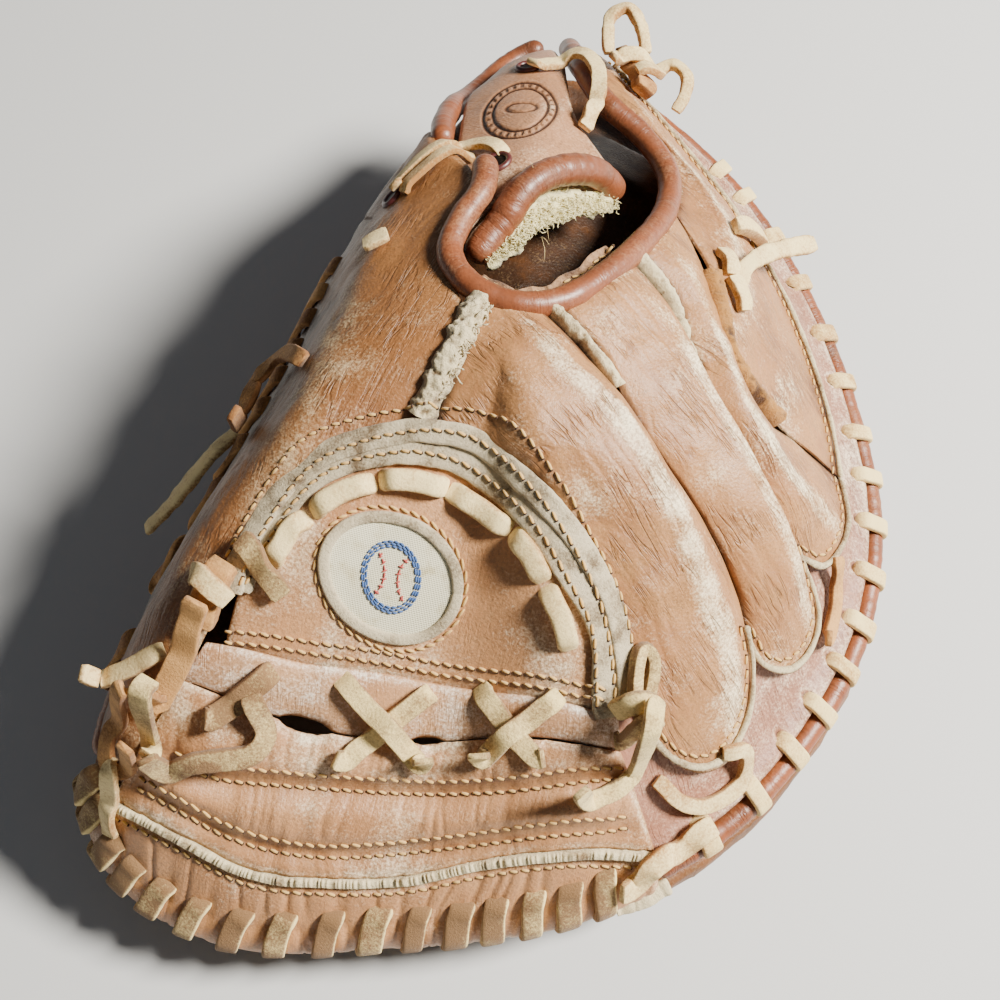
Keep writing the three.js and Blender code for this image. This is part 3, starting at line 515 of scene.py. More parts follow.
def line(rows):
    """A smooth line through short rows of numbers, read at shares from 0 to 1 of its length."""
    p = np.array(rows, float)
    p = np.vstack([2 * p[0] - p[1], p, 2 * p[-1] - p[-2]])
    gap = paces(p)[:, None] ** 0.5
    p0, p1, p2, p3 = p[:-3], p[1:-2], p[2:-1], p[3:]
    d0, d1, d2 = gap[:-2], gap[1:-1], gap[2:]
    m1 = ((p1 - p0) / d0 - (p2 - p0) / (d0 + d1) + (p2 - p1) / d1) * d1
    m2 = ((p2 - p1) / d1 - (p3 - p1) / (d1 + d2) + (p3 - p2) / d2) * d1
    s = np.linspace(0, 1, 24, endpoint=False)[None, :, None]
    runs = ((2 * s**3 - 3 * s**2 + 1) * p1[:, None] + (s**3 - 2 * s**2 + s) * m1[:, None]
            + (3 * s**2 - 2 * s**3) * p2[:, None] + (s**3 - s**2) * m2[:, None])
    run = np.vstack([runs.reshape(-1, p.shape[1]), p[-2]])
    gone = way_gone(run)
    return lambda t: np.stack([np.interp(np.asarray(t) * gone[-1], gone, column) for column in run.T], -1)


def unit(rows):
    return rows / np.maximum(np.linalg.norm(rows, axis=-1, keepdims=True), 1e-9)


def grid_mesh(name, points, flat=None, closed=False, marks=None):
    """A grid of leather laid through rows of points. A closed grid is rolled up, its seam and ends shut.
    Marks are values painted on its points."""
    rows, columns = points.shape[:2]
    shape = bmesh.new()
    bmesh.ops.create_grid(shape, x_segments=columns - 1, y_segments=rows - 1, size=1)
    for vert, place in zip(shape.verts, placed(points.reshape(-1, 3))):
        vert.co = place
    for mark, values in (marks or {}).items():
        layer = shape.verts.layers.float.new(mark)
        for vert, value in zip(shape.verts, np.broadcast_to(values, (rows, columns)).ravel()):
            vert[layer] = value
    lie = shape.loops.layers.uv.new("lie")
    uv = (flat if flat is not None else points[..., :2]).reshape(-1, 2)
    shape.verts.index_update()
    for face in shape.faces:
        for loop in face.loops:
            loop[lie].uv = uv[loop.vert.index]
    shape.normal_update()
    if closed:
        bmesh.ops.remove_doubles(shape, verts=shape.verts, dist=2e-6)
        bmesh.ops.holes_fill(shape, edges=[edge for edge in shape.edges if edge.is_boundary])
        bmesh.ops.recalc_face_normals(shape, faces=shape.faces)
    elif sum(face.normal.z * face.calc_area() for face in shape.faces) < 0:
        bmesh.ops.reverse_faces(shape, faces=shape.faces)
    return mesh_of(name, shape)


def tube(path, face_up, width, thick, sides, squareness, pitch, crease, seed, round_ends):
    """Rows of points round a cord, roll or lace that follows a path, and how far along and round each is."""
    gone = way_gone(path)
    total = gone[-1]
    end = min(thick, total) / 2
    rise = 1 - np.cos(np.linspace(0, math.pi / 2, 6))
    middle = np.linspace(end, total - end, max(3, int(total / pitch)))
    steps = np.concatenate([end * rise[:-1], middle, (total - end * rise[:-1])[::-1]])
    read = lambda rows: np.stack([np.interp(steps, gone, column) for column in rows.T], -1)
    at = read(path)
    along = unit(np.gradient(at, axis=0))
    side = unit(np.cross(read(face_up), along))
    face = np.cross(along, side)
    near_end = np.minimum(steps, total - steps)
    taper = np.sqrt(np.clip(1 - (1 - np.minimum(near_end / end, 1)) ** 2, 0, 1)) if round_ends else (
        np.clip(0.86 + 0.14 * near_end / end, 0, 1))
    angle = np.linspace(0, TURN, sides + 1)
    squared = lambda wave: np.sign(wave) * np.abs(wave) ** squareness
    ripple = 1 + crease * rumple(steps, steps * 0, 1.6, seed)
    ripple = ripple + crease * rumple(steps, steps * 0, 6, seed + 1)
    reach_side = (squared(np.cos(angle)) * width / 2)[None, :] * (taper * ripple)[:, None]
    reach_face = (squared(np.sin(angle)) * thick / 2)[None, :] * (taper * ripple)[:, None]
    points = at[:, None] + side[:, None] * reach_side[..., None] + face[:, None] * reach_face[..., None]
    round_mm = angle / TURN * 2 * (width + thick)
    flat = np.stack(np.broadcast_arrays(steps[:, None], round_mm[None, :]), -1)
    return points, flat, np.broadcast_to(angle[None, :], points.shape[:2])


rests_on = []


def carries(piece):
    """Notes a piece whose top later pieces lie on, with its reach in plan."""
    mesh = piece.data
    corners = [vert.co for vert in mesh.vertices]
    plan = points_of(mesh)[:, :2]
    tree = BVHTree.FromPolygons(corners, [face.vertices[:] for face in mesh.polygons])
    rests_on.append((*plan.min(0), *plan.max(0), tree))
    return piece


roll_leather = leather("rim_roll_leather", (152, 82, 42), (116, 60, 30), (214, 160, 112), (50, 27, 16),
                       rubbed=0.4, wrinkle=0.35, grain=0.35, turn=math.pi / 2, gloss=0.55, coat=0.1)


def rolled(name, path, face_up, radius, finish, seed, crease=0.03):
    """A rolled edge of round section."""
    points, flat, angle = tube(path, face_up, 2 * radius, 2 * radius, sides=24, squareness=1.0, pitch=0.8,
                               crease=crease, round_ends=True, seed=seed)
    mesh = grid_mesh(name, points, flat, closed=True)
    model = points_of(mesh) / MM + CENTRE
    rubbed_spots = rumple(model[:, 0] + model[:, 2], model[:, 1], 13, seed + 4)
    paint(mesh, "wear_and_highlight", 0.08 + 0.3 * np.clip(rubbed_spots, 0, 1))
    paint(mesh, "grime_and_shade", 0.2 + 0.25 * np.clip(-rubbed_spots, 0, 1))
    piece = carries(shown(name, mesh, finish))
    return piece


for number, (node, start, stop, inset, under, radius, slot) in enumerate(RIM_ROLLS):
    degrees = np.linspace(start, stop, 220)
    plan = rim_point(degrees, ROLL_INSET)
    made = rolled(node.replace("roll", "cord"), roll_middle(degrees, inset, under),
                  outward(plan[:, 0], plan[:, 1]), radius, roll_leather, seed=20 + number)
    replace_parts(made, node)

# The flange is the flat border outside the fingers, two layers of mauve brown leather that the rim lace
# is threaded through. Each punched hole is painted dark as the shade in it, with a rim rubbed pale by the
# lace.
LEATHER = 2.5
PANEL_LOW = -1.2
FLANGE_LOW = -4.1
LACE_THICK = 2.0
LACE_SLACK = 0.35
LACE_CLEAR = ROLL + LACE_SLACK + LACE_THICK + 1.5
FLANGE_INNER = [(34, -66), (60, -50), (78, -22), (84, 5), (80, 30), (68, 58), (50, 82), (34, 108), (20, 128)]
# directions of the lace's turns over the rim, in degrees
FINGER_BARS = (66, 61, 54, 46, 37, 28.5, 19.5, 12, 4, -4.5, -13, -20.5, -28, -35.5, -44, -53)
THUMB_BARS = (146, 154, 162, 171, 180, 188, 196, 204, 212, 220)
WEB_BARS = (228.5, 230.6, 233.5, 236.5, 240, 244.2, 248.5, 253, 257.8, 262.7, 267.5, 272.5, 277, 281.7, 286.3,
            291)
FINGER_HOLE = 11.2
HOLE_PULL = 3.0
FLANGE_STOP = 8.2
flange_leather = leather("flange_leather", (172, 122, 98), (140, 92, 72), (240, 220, 192), (78, 46, 36),
                         rubbed=0.85, wrinkle=0.5, turn=math.radians(60))


def line_between(first, last):
    return line([first, (np.asarray(first) + last) / 2, last])


def clear_inset(degrees):
    """How far inside the outline a panel stops, to leave room for the lace round the rim roll."""
    middle = roll_middle(degrees)
    inset = np.full(np.shape(degrees), ROLL_INSET)
    for _ in range(60):
        plan = rim_point(degrees, inset)
        near = np.zeros(inset.shape, bool)
        for over in (FLANGE_LOW, -2, PANEL_LOW + LEATHER):
            away = np.linalg.norm(skin(plan[..., 0], plan[..., 1], over) - middle, axis=-1)
            near |= away < LACE_CLEAR + LACE_SLACK
        inset = inset + 0.25 * near
    return inset


def rim_line(start, stop):
    """A plan line beside the rim roll, where a panel's outer edge stops."""
    degrees = np.linspace(start, stop, 90)
    return line(rim_point(degrees, clear_inset(degrees)))


def filled_plan(edges, u, v):
    """Plan points of a sheet stretched between four plan lines: near and far run the same way."""
    near, far, left, right = edges["near"], edges["far"], edges["left"], edges["right"]
    u3, v3 = u[..., None], v[..., None]
    return ((1 - u3) * left(v) + u3 * right(v) + (1 - v3) * near(u) + v3 * far(u)
            - (1 - u3) * (1 - v3) * near(0.0) - u3 * (1 - v3) * near(1.0)
            - (1 - u3) * v3 * far(0.0) - u3 * v3 * far(1.0))


def along_table(rows, t):
    """The later columns of a short table, read smoothly at its first column."""
    table = np.array(rows, float)
    table = np.vstack([2 * table[0] - table[1], table, 2 * table[-1] - table[-2]])
    i = np.clip(np.searchsorted(table[:, 0], t, side="right"), 2, len(table) - 2)
    near = [i - 2, i - 1, i, i + 1]
    values = ease([table[k, 0][..., None] for k in near], [table[k, 1:] for k in near], t[..., None])
    return [values[..., k] for k in range(values.shape[-1])]


def away_from(rows, x, y):
    """Distance of plan points from a plan line."""
    run = line(rows)(np.linspace(0, 1, 160))
    return np.sqrt(((x[..., None] - run[:, 0]) ** 2 + (y[..., None] - run[:, 1]) ** 2).min(-1))


def creases(x, y, way, spacing, seed):
    """Folds from 0 down to -1 that run about this way over the plan, in degrees."""
    a = math.radians(way)
    along = x * math.cos(a) + y * math.sin(a)
    across = -x * math.sin(a) + y * math.cos(a)
    bent = across + 1.6 * spacing * rumple(x, y, 17, seed)
    wave = rumple(along / 5, bent, spacing, seed + 1)
    return -np.exp(-(wave / 0.26) ** 2)


def leather_panel(name, edges, finish, lift, pitch, look=None, low=PANEL_LOW, margins=(0.35,) * 4,
                  curl=0.7, thick=2.3):
    """A leather panel between four plan lines. Lift and look are functions of its shares u and v and its plan
    points. Margins are left, right, near and far, and each may be a function of the share along it."""
    ends = np.linspace(0, 1, 25)
    wide = np.linalg.norm(edges["left"](ends) - edges["right"](ends), axis=-1)
    long = np.linalg.norm(edges["near"](ends) - edges["far"](ends), axis=-1)
    side = paces(edges["right"](ends)).sum()
    front = paces(edges["far"](ends)).sum()
    columns = max(4, int(max(front, wide.max()) / pitch))
    rows = max(4, int(max(side, long.max()) / pitch))
    u, v = np.meshgrid(np.linspace(0, 1, columns), np.linspace(0, 1, rows))
    across = np.maximum(np.interp(v, ends, wide), 2)
    along = np.maximum(np.interp(u, ends, long), 2)
    left, right = (margin(v) if callable(margin) else margin for margin in margins[:2])
    near, far = (margin(u) if callable(margin) else margin for margin in margins[2:])
    u_in = left / across + u * (1 - (left + right) / across)
    v_in = near / along + v * (1 - (near + far) / along)
    plan = filled_plan(edges, u_in, v_in)
    x, y = plan[..., 0], plan[..., 1]
    to_side = np.minimum(u, 1 - u) * across
    to_end = np.minimum(v, 1 - v) * along
    edge = np.minimum(to_side, to_end)
    raised = lift(u, v, x, y) - curl * np.exp(-(edge / 1.1) ** 2)
    points = skin(x, y, low + LEATHER + raised)
    mesh = grid_mesh(name, points, plan)
    wear_and_highlight = 0.35 * np.exp(-(np.abs(edge - 0.9) / 0.9) ** 2) + 0.12 * rumple(x, y, 9, 11)
    grime_and_shade = 0.25 * np.exp(-(edge / 1.0) ** 2) + 0.1 * rumple(x, y, 14, 12)
    # The looks add their own marks, painted shade and painted highlight among them.
    if look:
        more_wear_and_highlight, more_grime_and_shade = look(u, v, x, y)
        wear_and_highlight, grime_and_shade = wear_and_highlight + more_wear_and_highlight, grime_and_shade + more_grime_and_shade
    paint(mesh, "wear_and_highlight", wear_and_highlight)
    paint(mesh, "grime_and_shade", grime_and_shade)
    piece = shown(name, mesh, finish)
    wall = piece.modifiers.new("wall", "SOLIDIFY")
    wall.thickness = thick * MM
    wall.offset = -1
    carries(piece)
    return piece


def hole_pull(x, y):
    """How close plan points are to the rim lace's holes: 1 in a hole, 0 from HOLE_PULL away."""
    close = np.zeros_like(x)
    for degrees in FINGER_BARS:
        hole = rim_point(np.array(float(degrees)), FINGER_HOLE)
        close = np.maximum(close, np.clip(1 - np.hypot(x - hole[0], y - hole[1]) / HOLE_PULL, 0, 1))
    return close


def flange_lift(u, v, x, y):
    wavy = 0.8 * rumple(x, y, 22, 31) * np.minimum(1, 4 * u * (1 - u) + 0.3)
    over_roll = np.clip((14 - inset_of(x, y)) / 6, 0, 1)
    over_roll = 2.0 * over_roll ** 2 * (3 - 2 * over_roll)
    pulled = 1.5 * np.clip(hole_pull(x, y) * 1.6 - 0.4, 0, 1)
    return over_roll + wavy + 0.15 * creases(x, y, -30, 6, 32) - pulled


def flange_look(u, v, x, y):
    close = hole_pull(x, y)
    ring = np.exp(-((close - 0.22) / 0.14) ** 2)
    worn = 0.3 * np.clip(rumple(x, y, 20, 33), 0, 1) + 0.45 * ring + 0.2 * (u > 0.5)
    # Close to each hole the second mark is painted shade, dark where the hole is.
    return worn, 1.4 * np.clip(close * 2.2 - 0.9, 0, 1) + 0.35 * np.clip((70 - y) / 130, 0, 1) * (1 - u)


inner, outer = line(FLANGE_INNER), line(rim_point(np.linspace(-64, 78, 90), FLANGE_STOP))
flange = leather_panel("flange_border", {
    "left": inner, "right": outer,
    "near": line_between(inner(0.0), outer(0.0)), "far": line_between(inner(1.0), outer(1.0)),
}, flange_leather, low=FLANGE_LOW, lift=flange_lift, look=flange_look, pitch=0.8)
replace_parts(flange, "finger_flange")

# The thumb's back is one broad panel from the heel to the web, tan, with painted shadow darkening its outer
# side towards the rim. A soft ridge follows the thumb bone, and folds gather where the panel turns down to the
# rim.
OPENING = [(-15, 71), (-14, 59), (-18, 47), (-19, 36), (-12, 26), (0, 22), (11, 26), (21, 38), (30, 56),
           (36, 76), (35, 95), (26, 107), (14, 115), (6, 130), (1, 149), (-2, 162)]
THUMB_SEAM = [(-10, 19), (-13, 6), (-19, -10)]
ARCH = [(-62, -58), (-57, -44), (-46, -28), (-31, -19), (-16, -15), (-1, -16), (12, -24), (25, -36),
        (35, -49), (40, -62)]
WEB_LEFT = [(-62, -58), (-68, -72), (-77, -87), (-86, -101), (-95, -113)]
THUMB_RIDGE = [(-41, 52), (-42, 36), (-45, 13), (-47, -14), (-57, -42), (-68, -66)]
EDGE_OUT = 1.6
thumb_leather = leather("thumb_leather", (166, 114, 68), (128, 80, 44), (228, 202, 158), (50, 30, 18),
                        rubbed=0.85, wrinkle=0.5, turn=math.radians(-70))
opening = line(OPENING)


def left_of(ahead):
    """Plan directions turned a quarter round to the left."""
    return np.stack([-ahead[..., 1], ahead[..., 0]], -1)


def opening_side(t, out=EDGE_OUT):
    """The opening's line pushed outwards, where the panels round it stop."""
    t = np.asarray(t, float)
    ahead = unit(opening(t + 0.01) - opening(t - 0.01))
    return opening(t) - out * left_of(ahead)


def nearest_on_opening(place):
    """The share of the opening's length where it is nearest to a plan point."""
    t = np.linspace(0, 1, 401)
    return t[np.argmin(np.linalg.norm(opening_side(t) - place, axis=-1))]


def opening_edge(start, stop):
    return lambda t: opening_side(start + (stop - start) * np.asarray(t))


def seam_from(at, rows):
    return line([opening_side(at), *rows[1:]])


thumb_at = nearest_on_opening(THUMB_SEAM[0])
thumb_seam = seam_from(thumb_at, THUMB_SEAM)
thumb_inner = line([
    (-34.4, 96), (-33.4, 90), (-29.5, 82.5), (-23.5, 75), (-18, 67), (-15.6, 58), (-19, 48),
    opening_side(thumb_at - 0.1), opening_side(thumb_at - 0.04), thumb_seam(0.25), thumb_seam(0.6),
    thumb_seam(1.0), *ARCH[3::-1], *WEB_LEFT[1:4],
])
thumb_outer = rim_line(124, 227)


def thumb_lift(u, v, x, y):
    ridge = away_from(THUMB_RIDGE, x, y)
    body = 4 * np.sin(math.pi * u) ** 1.6 * np.clip((v - 0.35) * 4, 0, 1) * np.clip((1 - v) * 5, 0, 1)
    soft = 2.2 * np.exp(-(ridge / 8) ** 2) * np.clip(v * 4, 0, 1)
    outer_folds = 0.5 * creases(x, y, 76, 5.5, 41) * np.clip(u * 2 - 0.6, 0, 1)
    fine_folds = 0.16 * creases(x, y, 60, 3.0, 43)
    return body + soft + outer_folds + fine_folds + 0.7 * rumple(x, y, 16, 44) * u


def thumb_look(u, v, x, y):
    ridge = away_from(THUMB_RIDGE, x, y)
    worn = 0.35 * np.exp(-(ridge / 5) ** 2) + 0.2 * np.clip(rumple(x, y, 12, 45), 0, 1)
    # The second mark is painted shadow: it darkens the panel's outer side, towards the rim, where the shadow
    # falls.
    return worn, 0.8 * np.clip(u * 1.6 - 0.5, 0, 1) + 0.06 * np.clip(-creases(x, y, 60, 3.0, 43), 0, 1)


thumb = leather_panel("thumb_leather_back", {
    "left": thumb_inner, "right": thumb_outer,
    "near": line_between(thumb_inner(0.0), thumb_outer(0.0)),
    "far": line_between(thumb_inner(1.0), thumb_outer(1.0)),
}, thumb_leather, lift=thumb_lift, look=thumb_look, margins=(0.4, 0.4, 0, 0), pitch=1.0)
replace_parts(thumb, "thumb_back")

# Four padded finger panels fan out from the opening over the flange. The leather is rubbed pale on each crest,
# with a painted highlight there too, finely wrinkled along the fingers, and turned down into the seams on both
# sides, where painted shade darkens it.
INDEX_SEAM = [(11, 21), (25, 12), (39, -1), (54, -11), (66, -22), (73, -36)]
MIDDLE_SEAM = [(31, 50), (40, 42), (46, 30), (53, 18), (63, 7), (74, -2), (86, -9)]
RING_SEAM = [(41, 78), (49, 62), (54, 47), (58.5, 34.5), (69.5, 28), (84, 25.5), (100, 24)]
FINGER_EDGE = [(100, 24), (95, 43), (87, 62), (77, 78), (64, 93), (49, 108), (36, 120), (25, 134), (14, 153)]
WELT_ROOM = 2.5
# share of a seam's length over which the room for its raw strip opens and closes
ROOM_FADE = 0.12
INDEX_TIP = [(50, -68), (59, -72), (67, -71.5), (74, -66), (78, -55), (77, -44), (73, -36)]
MIDDLE_TIP = [(74, -35), (81, -40.5), (89, -39), (94.5, -32), (96, -23), (92, -14), (86, -9)]
RING_TIP = [(88, -8), (96, -7), (101, 0), (103, 10), (100, 24)]
# share of the finger's length, share of its width where the crest is, height of the crest in mm
INDEX_CREST = ((0, 0.6, 1), (0.15, 0.74, 4), (0.3, 0.84, 7.5), (0.45, 0.78, 9.6), (0.6, 0.68, 10),
               (0.75, 0.62, 9), (0.88, 0.58, 6), (1, 0.55, 1.2))
MIDDLE_CREST = ((0, 0.7, 1), (0.2, 0.8, 4), (0.4, 0.78, 7.5), (0.6, 0.7, 9), (0.8, 0.62, 7.5), (1, 0.55, 1))
RING_CREST = ((0, 0.3, 1), (0.2, 0.3, 4), (0.45, 0.36, 6.6), (0.7, 0.42, 7), (0.87, 0.45, 5.5), (1, 0.5, 1))
LITTLE_CREST = ((0, 0.35, 1), (0.2, 0.4, 3), (0.45, 0.45, 4), (0.75, 0.5, 3), (1, 0.5, 1))
finger_leather = leather("finger_leather", (184, 134, 86), (148, 98, 60), (250, 234, 196), (80, 48, 30),
                         rubbed=0.9, wrinkle=0.75, turn=math.radians(38), grain=0.6)
index_at, middle_at, ring_at = (nearest_on_opening(seam[0]) for seam in (INDEX_SEAM, MIDDLE_SEAM, RING_SEAM))
index_seam = seam_from(index_at, INDEX_SEAM)
middle_seam = seam_from(middle_at, MIDDLE_SEAM)
ring_seam = seam_from(ring_at, RING_SEAM)
index_left = line([thumb_seam(0.0), (-11, 6), (-13.4, -4), (-14.5, -11), (-8, -14), (0, -14.5), (14, -21),
                   (27, -34), (37, -48), (44, -60), (50, -68)])
middle_left = line([index_seam(0.0), *INDEX_SEAM[1:-1], (74, -35)])
ring_left = line([middle_seam(0.0), *MIDDLE_SEAM[1:-1], (88, -8)])
finger_edge = line(FINGER_EDGE)


def under_bands(v):
    """The index finger's left margin: clear of the thumb's seam, then tucked under the web's raw bands."""
    return 0.35 - 2.2 * np.clip((v - 0.42) / 0.08, 0, 1)


def finger(name, edges, crest, way, margins, seed):
    """A padded finger: its crest is a ridge, softer towards its left seam."""
    def profile(u, v):
        top, rise = along_table(crest, v)
        left = np.sin(math.pi / 2 * np.clip(u / top, 0, 1)) ** 1.35
        right = np.sin(math.pi / 2 * np.clip((1 - u) / (1 - top), 0, 1)) ** 1.1
        return np.where(u < top, left, right), rise

    def lift(u, v, x, y):
        shape, rise = profile(u, v)
        fine = 0.2 * creases(x, y, way, 3.0, seed) + 0.08 * creases(x, y, way + 14, 1.8, seed + 7)
        broad = 0.8 * rumple(x, y, 13, seed + 2) + 0.3 * rumple(x, y, 6, seed + 3)
        inner = np.minimum(1, 6 * u * (1 - u))
        return rise * shape + (fine + broad) * inner * np.minimum(1, 5 * (1 - v) + 0.2)

    def look(u, v, x, y):
        shape, rise = profile(u, v)
        # Paler on each crest: rubbed leather and a painted highlight. Darker in the valleys by the seams:
        # painted shade.
        crest_rub_and_highlight = np.exp(-((1 - shape) / 0.05) ** 2) * np.clip(rise / 6, 0, 1)
        worn = 0.7 * crest_rub_and_highlight + 0.35 * np.clip(rumple(x, y, 11, seed + 5), 0, 1)
        valley = np.exp(-(u / 0.07) ** 2) + np.exp(-((1 - u) / 0.09) ** 2)
        folds = -creases(x, y, way, 3.0, seed)
        return worn - 0.3 * valley - 0.12 * folds, 0.55 * valley + 0.12 * folds

    return leather_panel(name, edges, finger_leather, lift, 0.62, look, margins=margins)


def welt_room(stop, start=-1.0, closed=0.25):
    """Room for the raw strip in a seam, closed up beyond the strip's ends."""
    def room(v):
        inside = np.clip((stop - v) / ROOM_FADE, 0, 1) * np.clip((v - start) / ROOM_FADE, 0, 1)
        return closed + (WELT_ROOM - closed) * inside
    return room


for name, node, edges, crest, way, margins in (
    ("index_finger_back", "index_back", {
        "left": index_left, "right": index_seam, "near": opening_edge(thumb_at, index_at),
        "far": line([index_left(1.0), *INDEX_TIP[1:-1], index_seam(1.0)])},
     INDEX_CREST, -45, (under_bands, welt_room(0.3), 0, 0)),
    ("middle_finger_back", "middle_back", {
        "left": middle_left, "right": middle_seam, "near": opening_edge(index_at, middle_at),
        "far": line([middle_left(1.0), *MIDDLE_TIP[1:-1], middle_seam(1.0)])},
     MIDDLE_CREST, -42, (welt_room(0.3), welt_room(0.5), 0, 0)),
    ("ring_finger_back", "ring_back", {
        "left": ring_left, "right": ring_seam, "near": opening_edge(middle_at, ring_at),
        "far": line([ring_left(1.0), *RING_TIP[1:-1], ring_seam(1.0)])},
     RING_CREST, -40, (welt_room(0.5), welt_room(0.8, 0.12, 0.0), 0, 0)),
    ("little_finger_back", "little_back", {
        "left": lambda t: opening_side(ring_at + (1 - ring_at) * t ** 3.2),
        "right": lambda t: finger_edge(1 - (1 - t ** 3.2) ** 1.7), "near": ring_seam,
        "far": line_between(opening_side(1.0), FINGER_EDGE[-1])},
     LITTLE_CREST, -62, (1.4, 0, welt_room(0.8, 0.12, 0.0), 1.5)),
):
    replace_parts(finger(name, edges, crest, way, margins, seed=50 + len(name)), node)

# Raw strips of hide fill parts of the seams between thumb and fingers. The one beside the thumb is wide and
# has frayed to a grey woolly pile. The narrow ones stand on edge, ragged on top, two pale and one golden.
THUMB_WELT_WIDE = 8.4
THUMB_WELT_OVER = 4.2
NARROW_WELT = 2.6
THREAD_SIDES = 5
BUNDLE = 40


def raw_hide_group():
    """Raw hide or matted pile: fibrous, pale on its tips and grey brown between them."""
    tree, given, where = look_group("raw_hide", ("Pale", "Deep"), ("Fibre Size", "Soiled"), ("Height",))
    fibre = noise(tree, where, given["Fibre Size"], 6, 0.68)
    spots = noise(tree, where, 220, 3, 0.6)
    soiled = product(tree, given["Soiled"], stepped(tree, noise(tree, where, 70, 3, 0.6), 0.42, 0.66))
    shade = added(tree, less_half(tree, spots), 0.35, added(tree, fibre, 0.8, 0.08))
    shade = sums(tree, "ADD", shade, product(tree, painted(tree, "grime_and_shade"), 0.5))
    shade = sums(tree, "ADD", shade, product(tree, soiled, 0.4))
    colour = mixed(tree, stepped(tree, shade, 0.46, 1.0), given["Pale"], given["Deep"])
    results_of(tree, Colour=colour, Height=fibre)
    return tree


raw_hide = raw_hide_group()


def hide(name, pale, deep, fibre, bump=0.0005, soiled=0.5, sheen=0.2):
    """A dry finish of raw hide, rawhide lace or wool."""
    looks = {"Pale": seen(*pale), "Deep": seen(*deep), "Fibre Size": fibre, "Soiled": soiled}
    return dressed(name, raw_hide, looks, bump, Roughness=0.88, Specular_IOR_Level=0.25, Sheen_Weight=sheen)


suede_finish = hide("raw_suede", (226, 210, 168), (120, 92, 60), fibre=1500, soiled=0.45)
band_finish = hide("arch_suede", (202, 188, 156), (104, 84, 60), fibre=1500, soiled=0.6)
pile_finish = hide("frayed_pile", (228, 212, 170), (110, 84, 52), fibre=1600, bump=0.0008, sheen=0.3)


def standing(x, y, spread, first=None):
    """Height in mm of the pieces laid so far, or of the first few of them, and the way that they face. It is
    the highest within this spread of each plan point."""
    x, y = np.atleast_1d(x), np.atleast_1d(y)
    heights, ways = [], []
    for px, py in zip(x, y):
        best, way = -1e3, Vector((0, 0, 1))
        for dx, dy in ((0, 0), (spread, 0), (-spread, 0), (0, spread), (0, -spread)):
            place = placed((px + dx, py + dy, 0))
            for low_x, low_y, high_x, high_y, tree in rests_on[:first]:
                if not (low_x <= place[0] <= high_x and low_y <= place[1] <= high_y):
                    continue
                hit = tree.ray_cast(Vector((place[0], place[1], 0.3)), Vector((0, 0, -1)))
                if hit[0] is not None and hit[0].z / MM > best:
                    best, way = hit[0].z / MM, hit[1] if hit[1].z > 0 else -hit[1]
        heights.append(best if best > -1e3 else float(height(px, py)))
        ways.append(way if best > -1e3 else Vector(outward(px, py)))
    return np.array(heights), np.array([tuple(way) for way in ways])


def eased(rows, width):
    """A run of values averaged over this many neighbours."""
    kernel = np.hanning(width + 2)[1:-1]
    kernel /= kernel.sum()
    padded_rows = np.concatenate([rows[:1].repeat(width // 2, 0), rows, rows[-1:].repeat(width // 2, 0)])
    if rows.ndim == 1:
        return np.convolve(padded_rows, kernel, "valid")
    return np.stack([np.convolve(column, kernel, "valid") for column in padded_rows.T], -1)


def thread(shape, start, end, thick, bend, seed):
    """One short fibre or stitch between two places, bent sideways in its middle."""
    start, end = Vector(start), Vector(end)
    run = end - start
    turned = run.to_track_quat("Z", "Y").to_matrix().to_4x4()
    scale = Matrix.Diagonal((thick / 2, thick / 2, run.length / 2, 1.0))
    made = bmesh.ops.create_uvsphere(shape, u_segments=THREAD_SIDES, v_segments=4, radius=1.0,
                                     matrix=Matrix.Translation((start + end) / 2) @ turned @ scale)
    if bend:
        way = Vector(np.random.default_rng(seed).normal(size=3)).normalized() * bend * run.length
        for vert in made["verts"]:
            share = min(1.0, ((vert.co - (start + end) / 2).length / (run.length / 2)) ** 2)
            vert.co += way * (1 - share)


def threads_piece(name, runs, thick, finish, bend=0.0):
    """Many short threads as one piece, made in small bundles."""
    whole = bmesh.new()
    for first in range(0, len(runs), BUNDLE):
        shape = bmesh.new()
        for number, (start, end) in enumerate(runs[first:first + BUNDLE]):
            thread(shape, placed(start), placed(end), thick * MM, bend, first + number)
        bundle = mesh_of(name, shape)
        whole.from_mesh(bundle)
        bpy.data.meshes.remove(bundle)
    piece = shown(name, mesh_of(name, whole), finish)
    return piece


def pile_strip(name, seam, start, stop, width, over, ragged, finish, seed):
    """A strip of raw hide lying or standing in a seam, lumpy all over and ragged at its sides."""
    share = np.linspace(start, stop, 90)
    plan = seam(share)
    square = left_of(unit(np.gradient(plan, axis=0)))
    u = np.linspace(-1, 1, 22)
    half = width / 2 * (1 + 0.2 * rumple(share * 90, share * 0, 4, seed))
    x = plan[:, 0:1] + square[:, 0:1] * half[:, None] * u
    y = plan[:, 1:2] + square[:, 1:2] * half[:, None] * u
    round_over = over * np.sqrt(np.clip(1 - np.abs(u) ** 2.4, 0, 1))[None, :] - 1.6
    lumps = ragged * (rumple(x, y, 1.5, seed + 1) + 0.6 * rumple(x, y, 0.8, seed + 2))
    points = skin(x, y, round_over + lumps * (np.abs(u) < 0.97)[None, :])
    mesh = grid_mesh(name, points)
    paint(mesh, "grime_and_shade", np.clip(-lumps, 0, 1) + 0.5 * np.abs(u)[None, :] ** 6)
    piece = carries(shown(name, mesh, finish))
    return piece


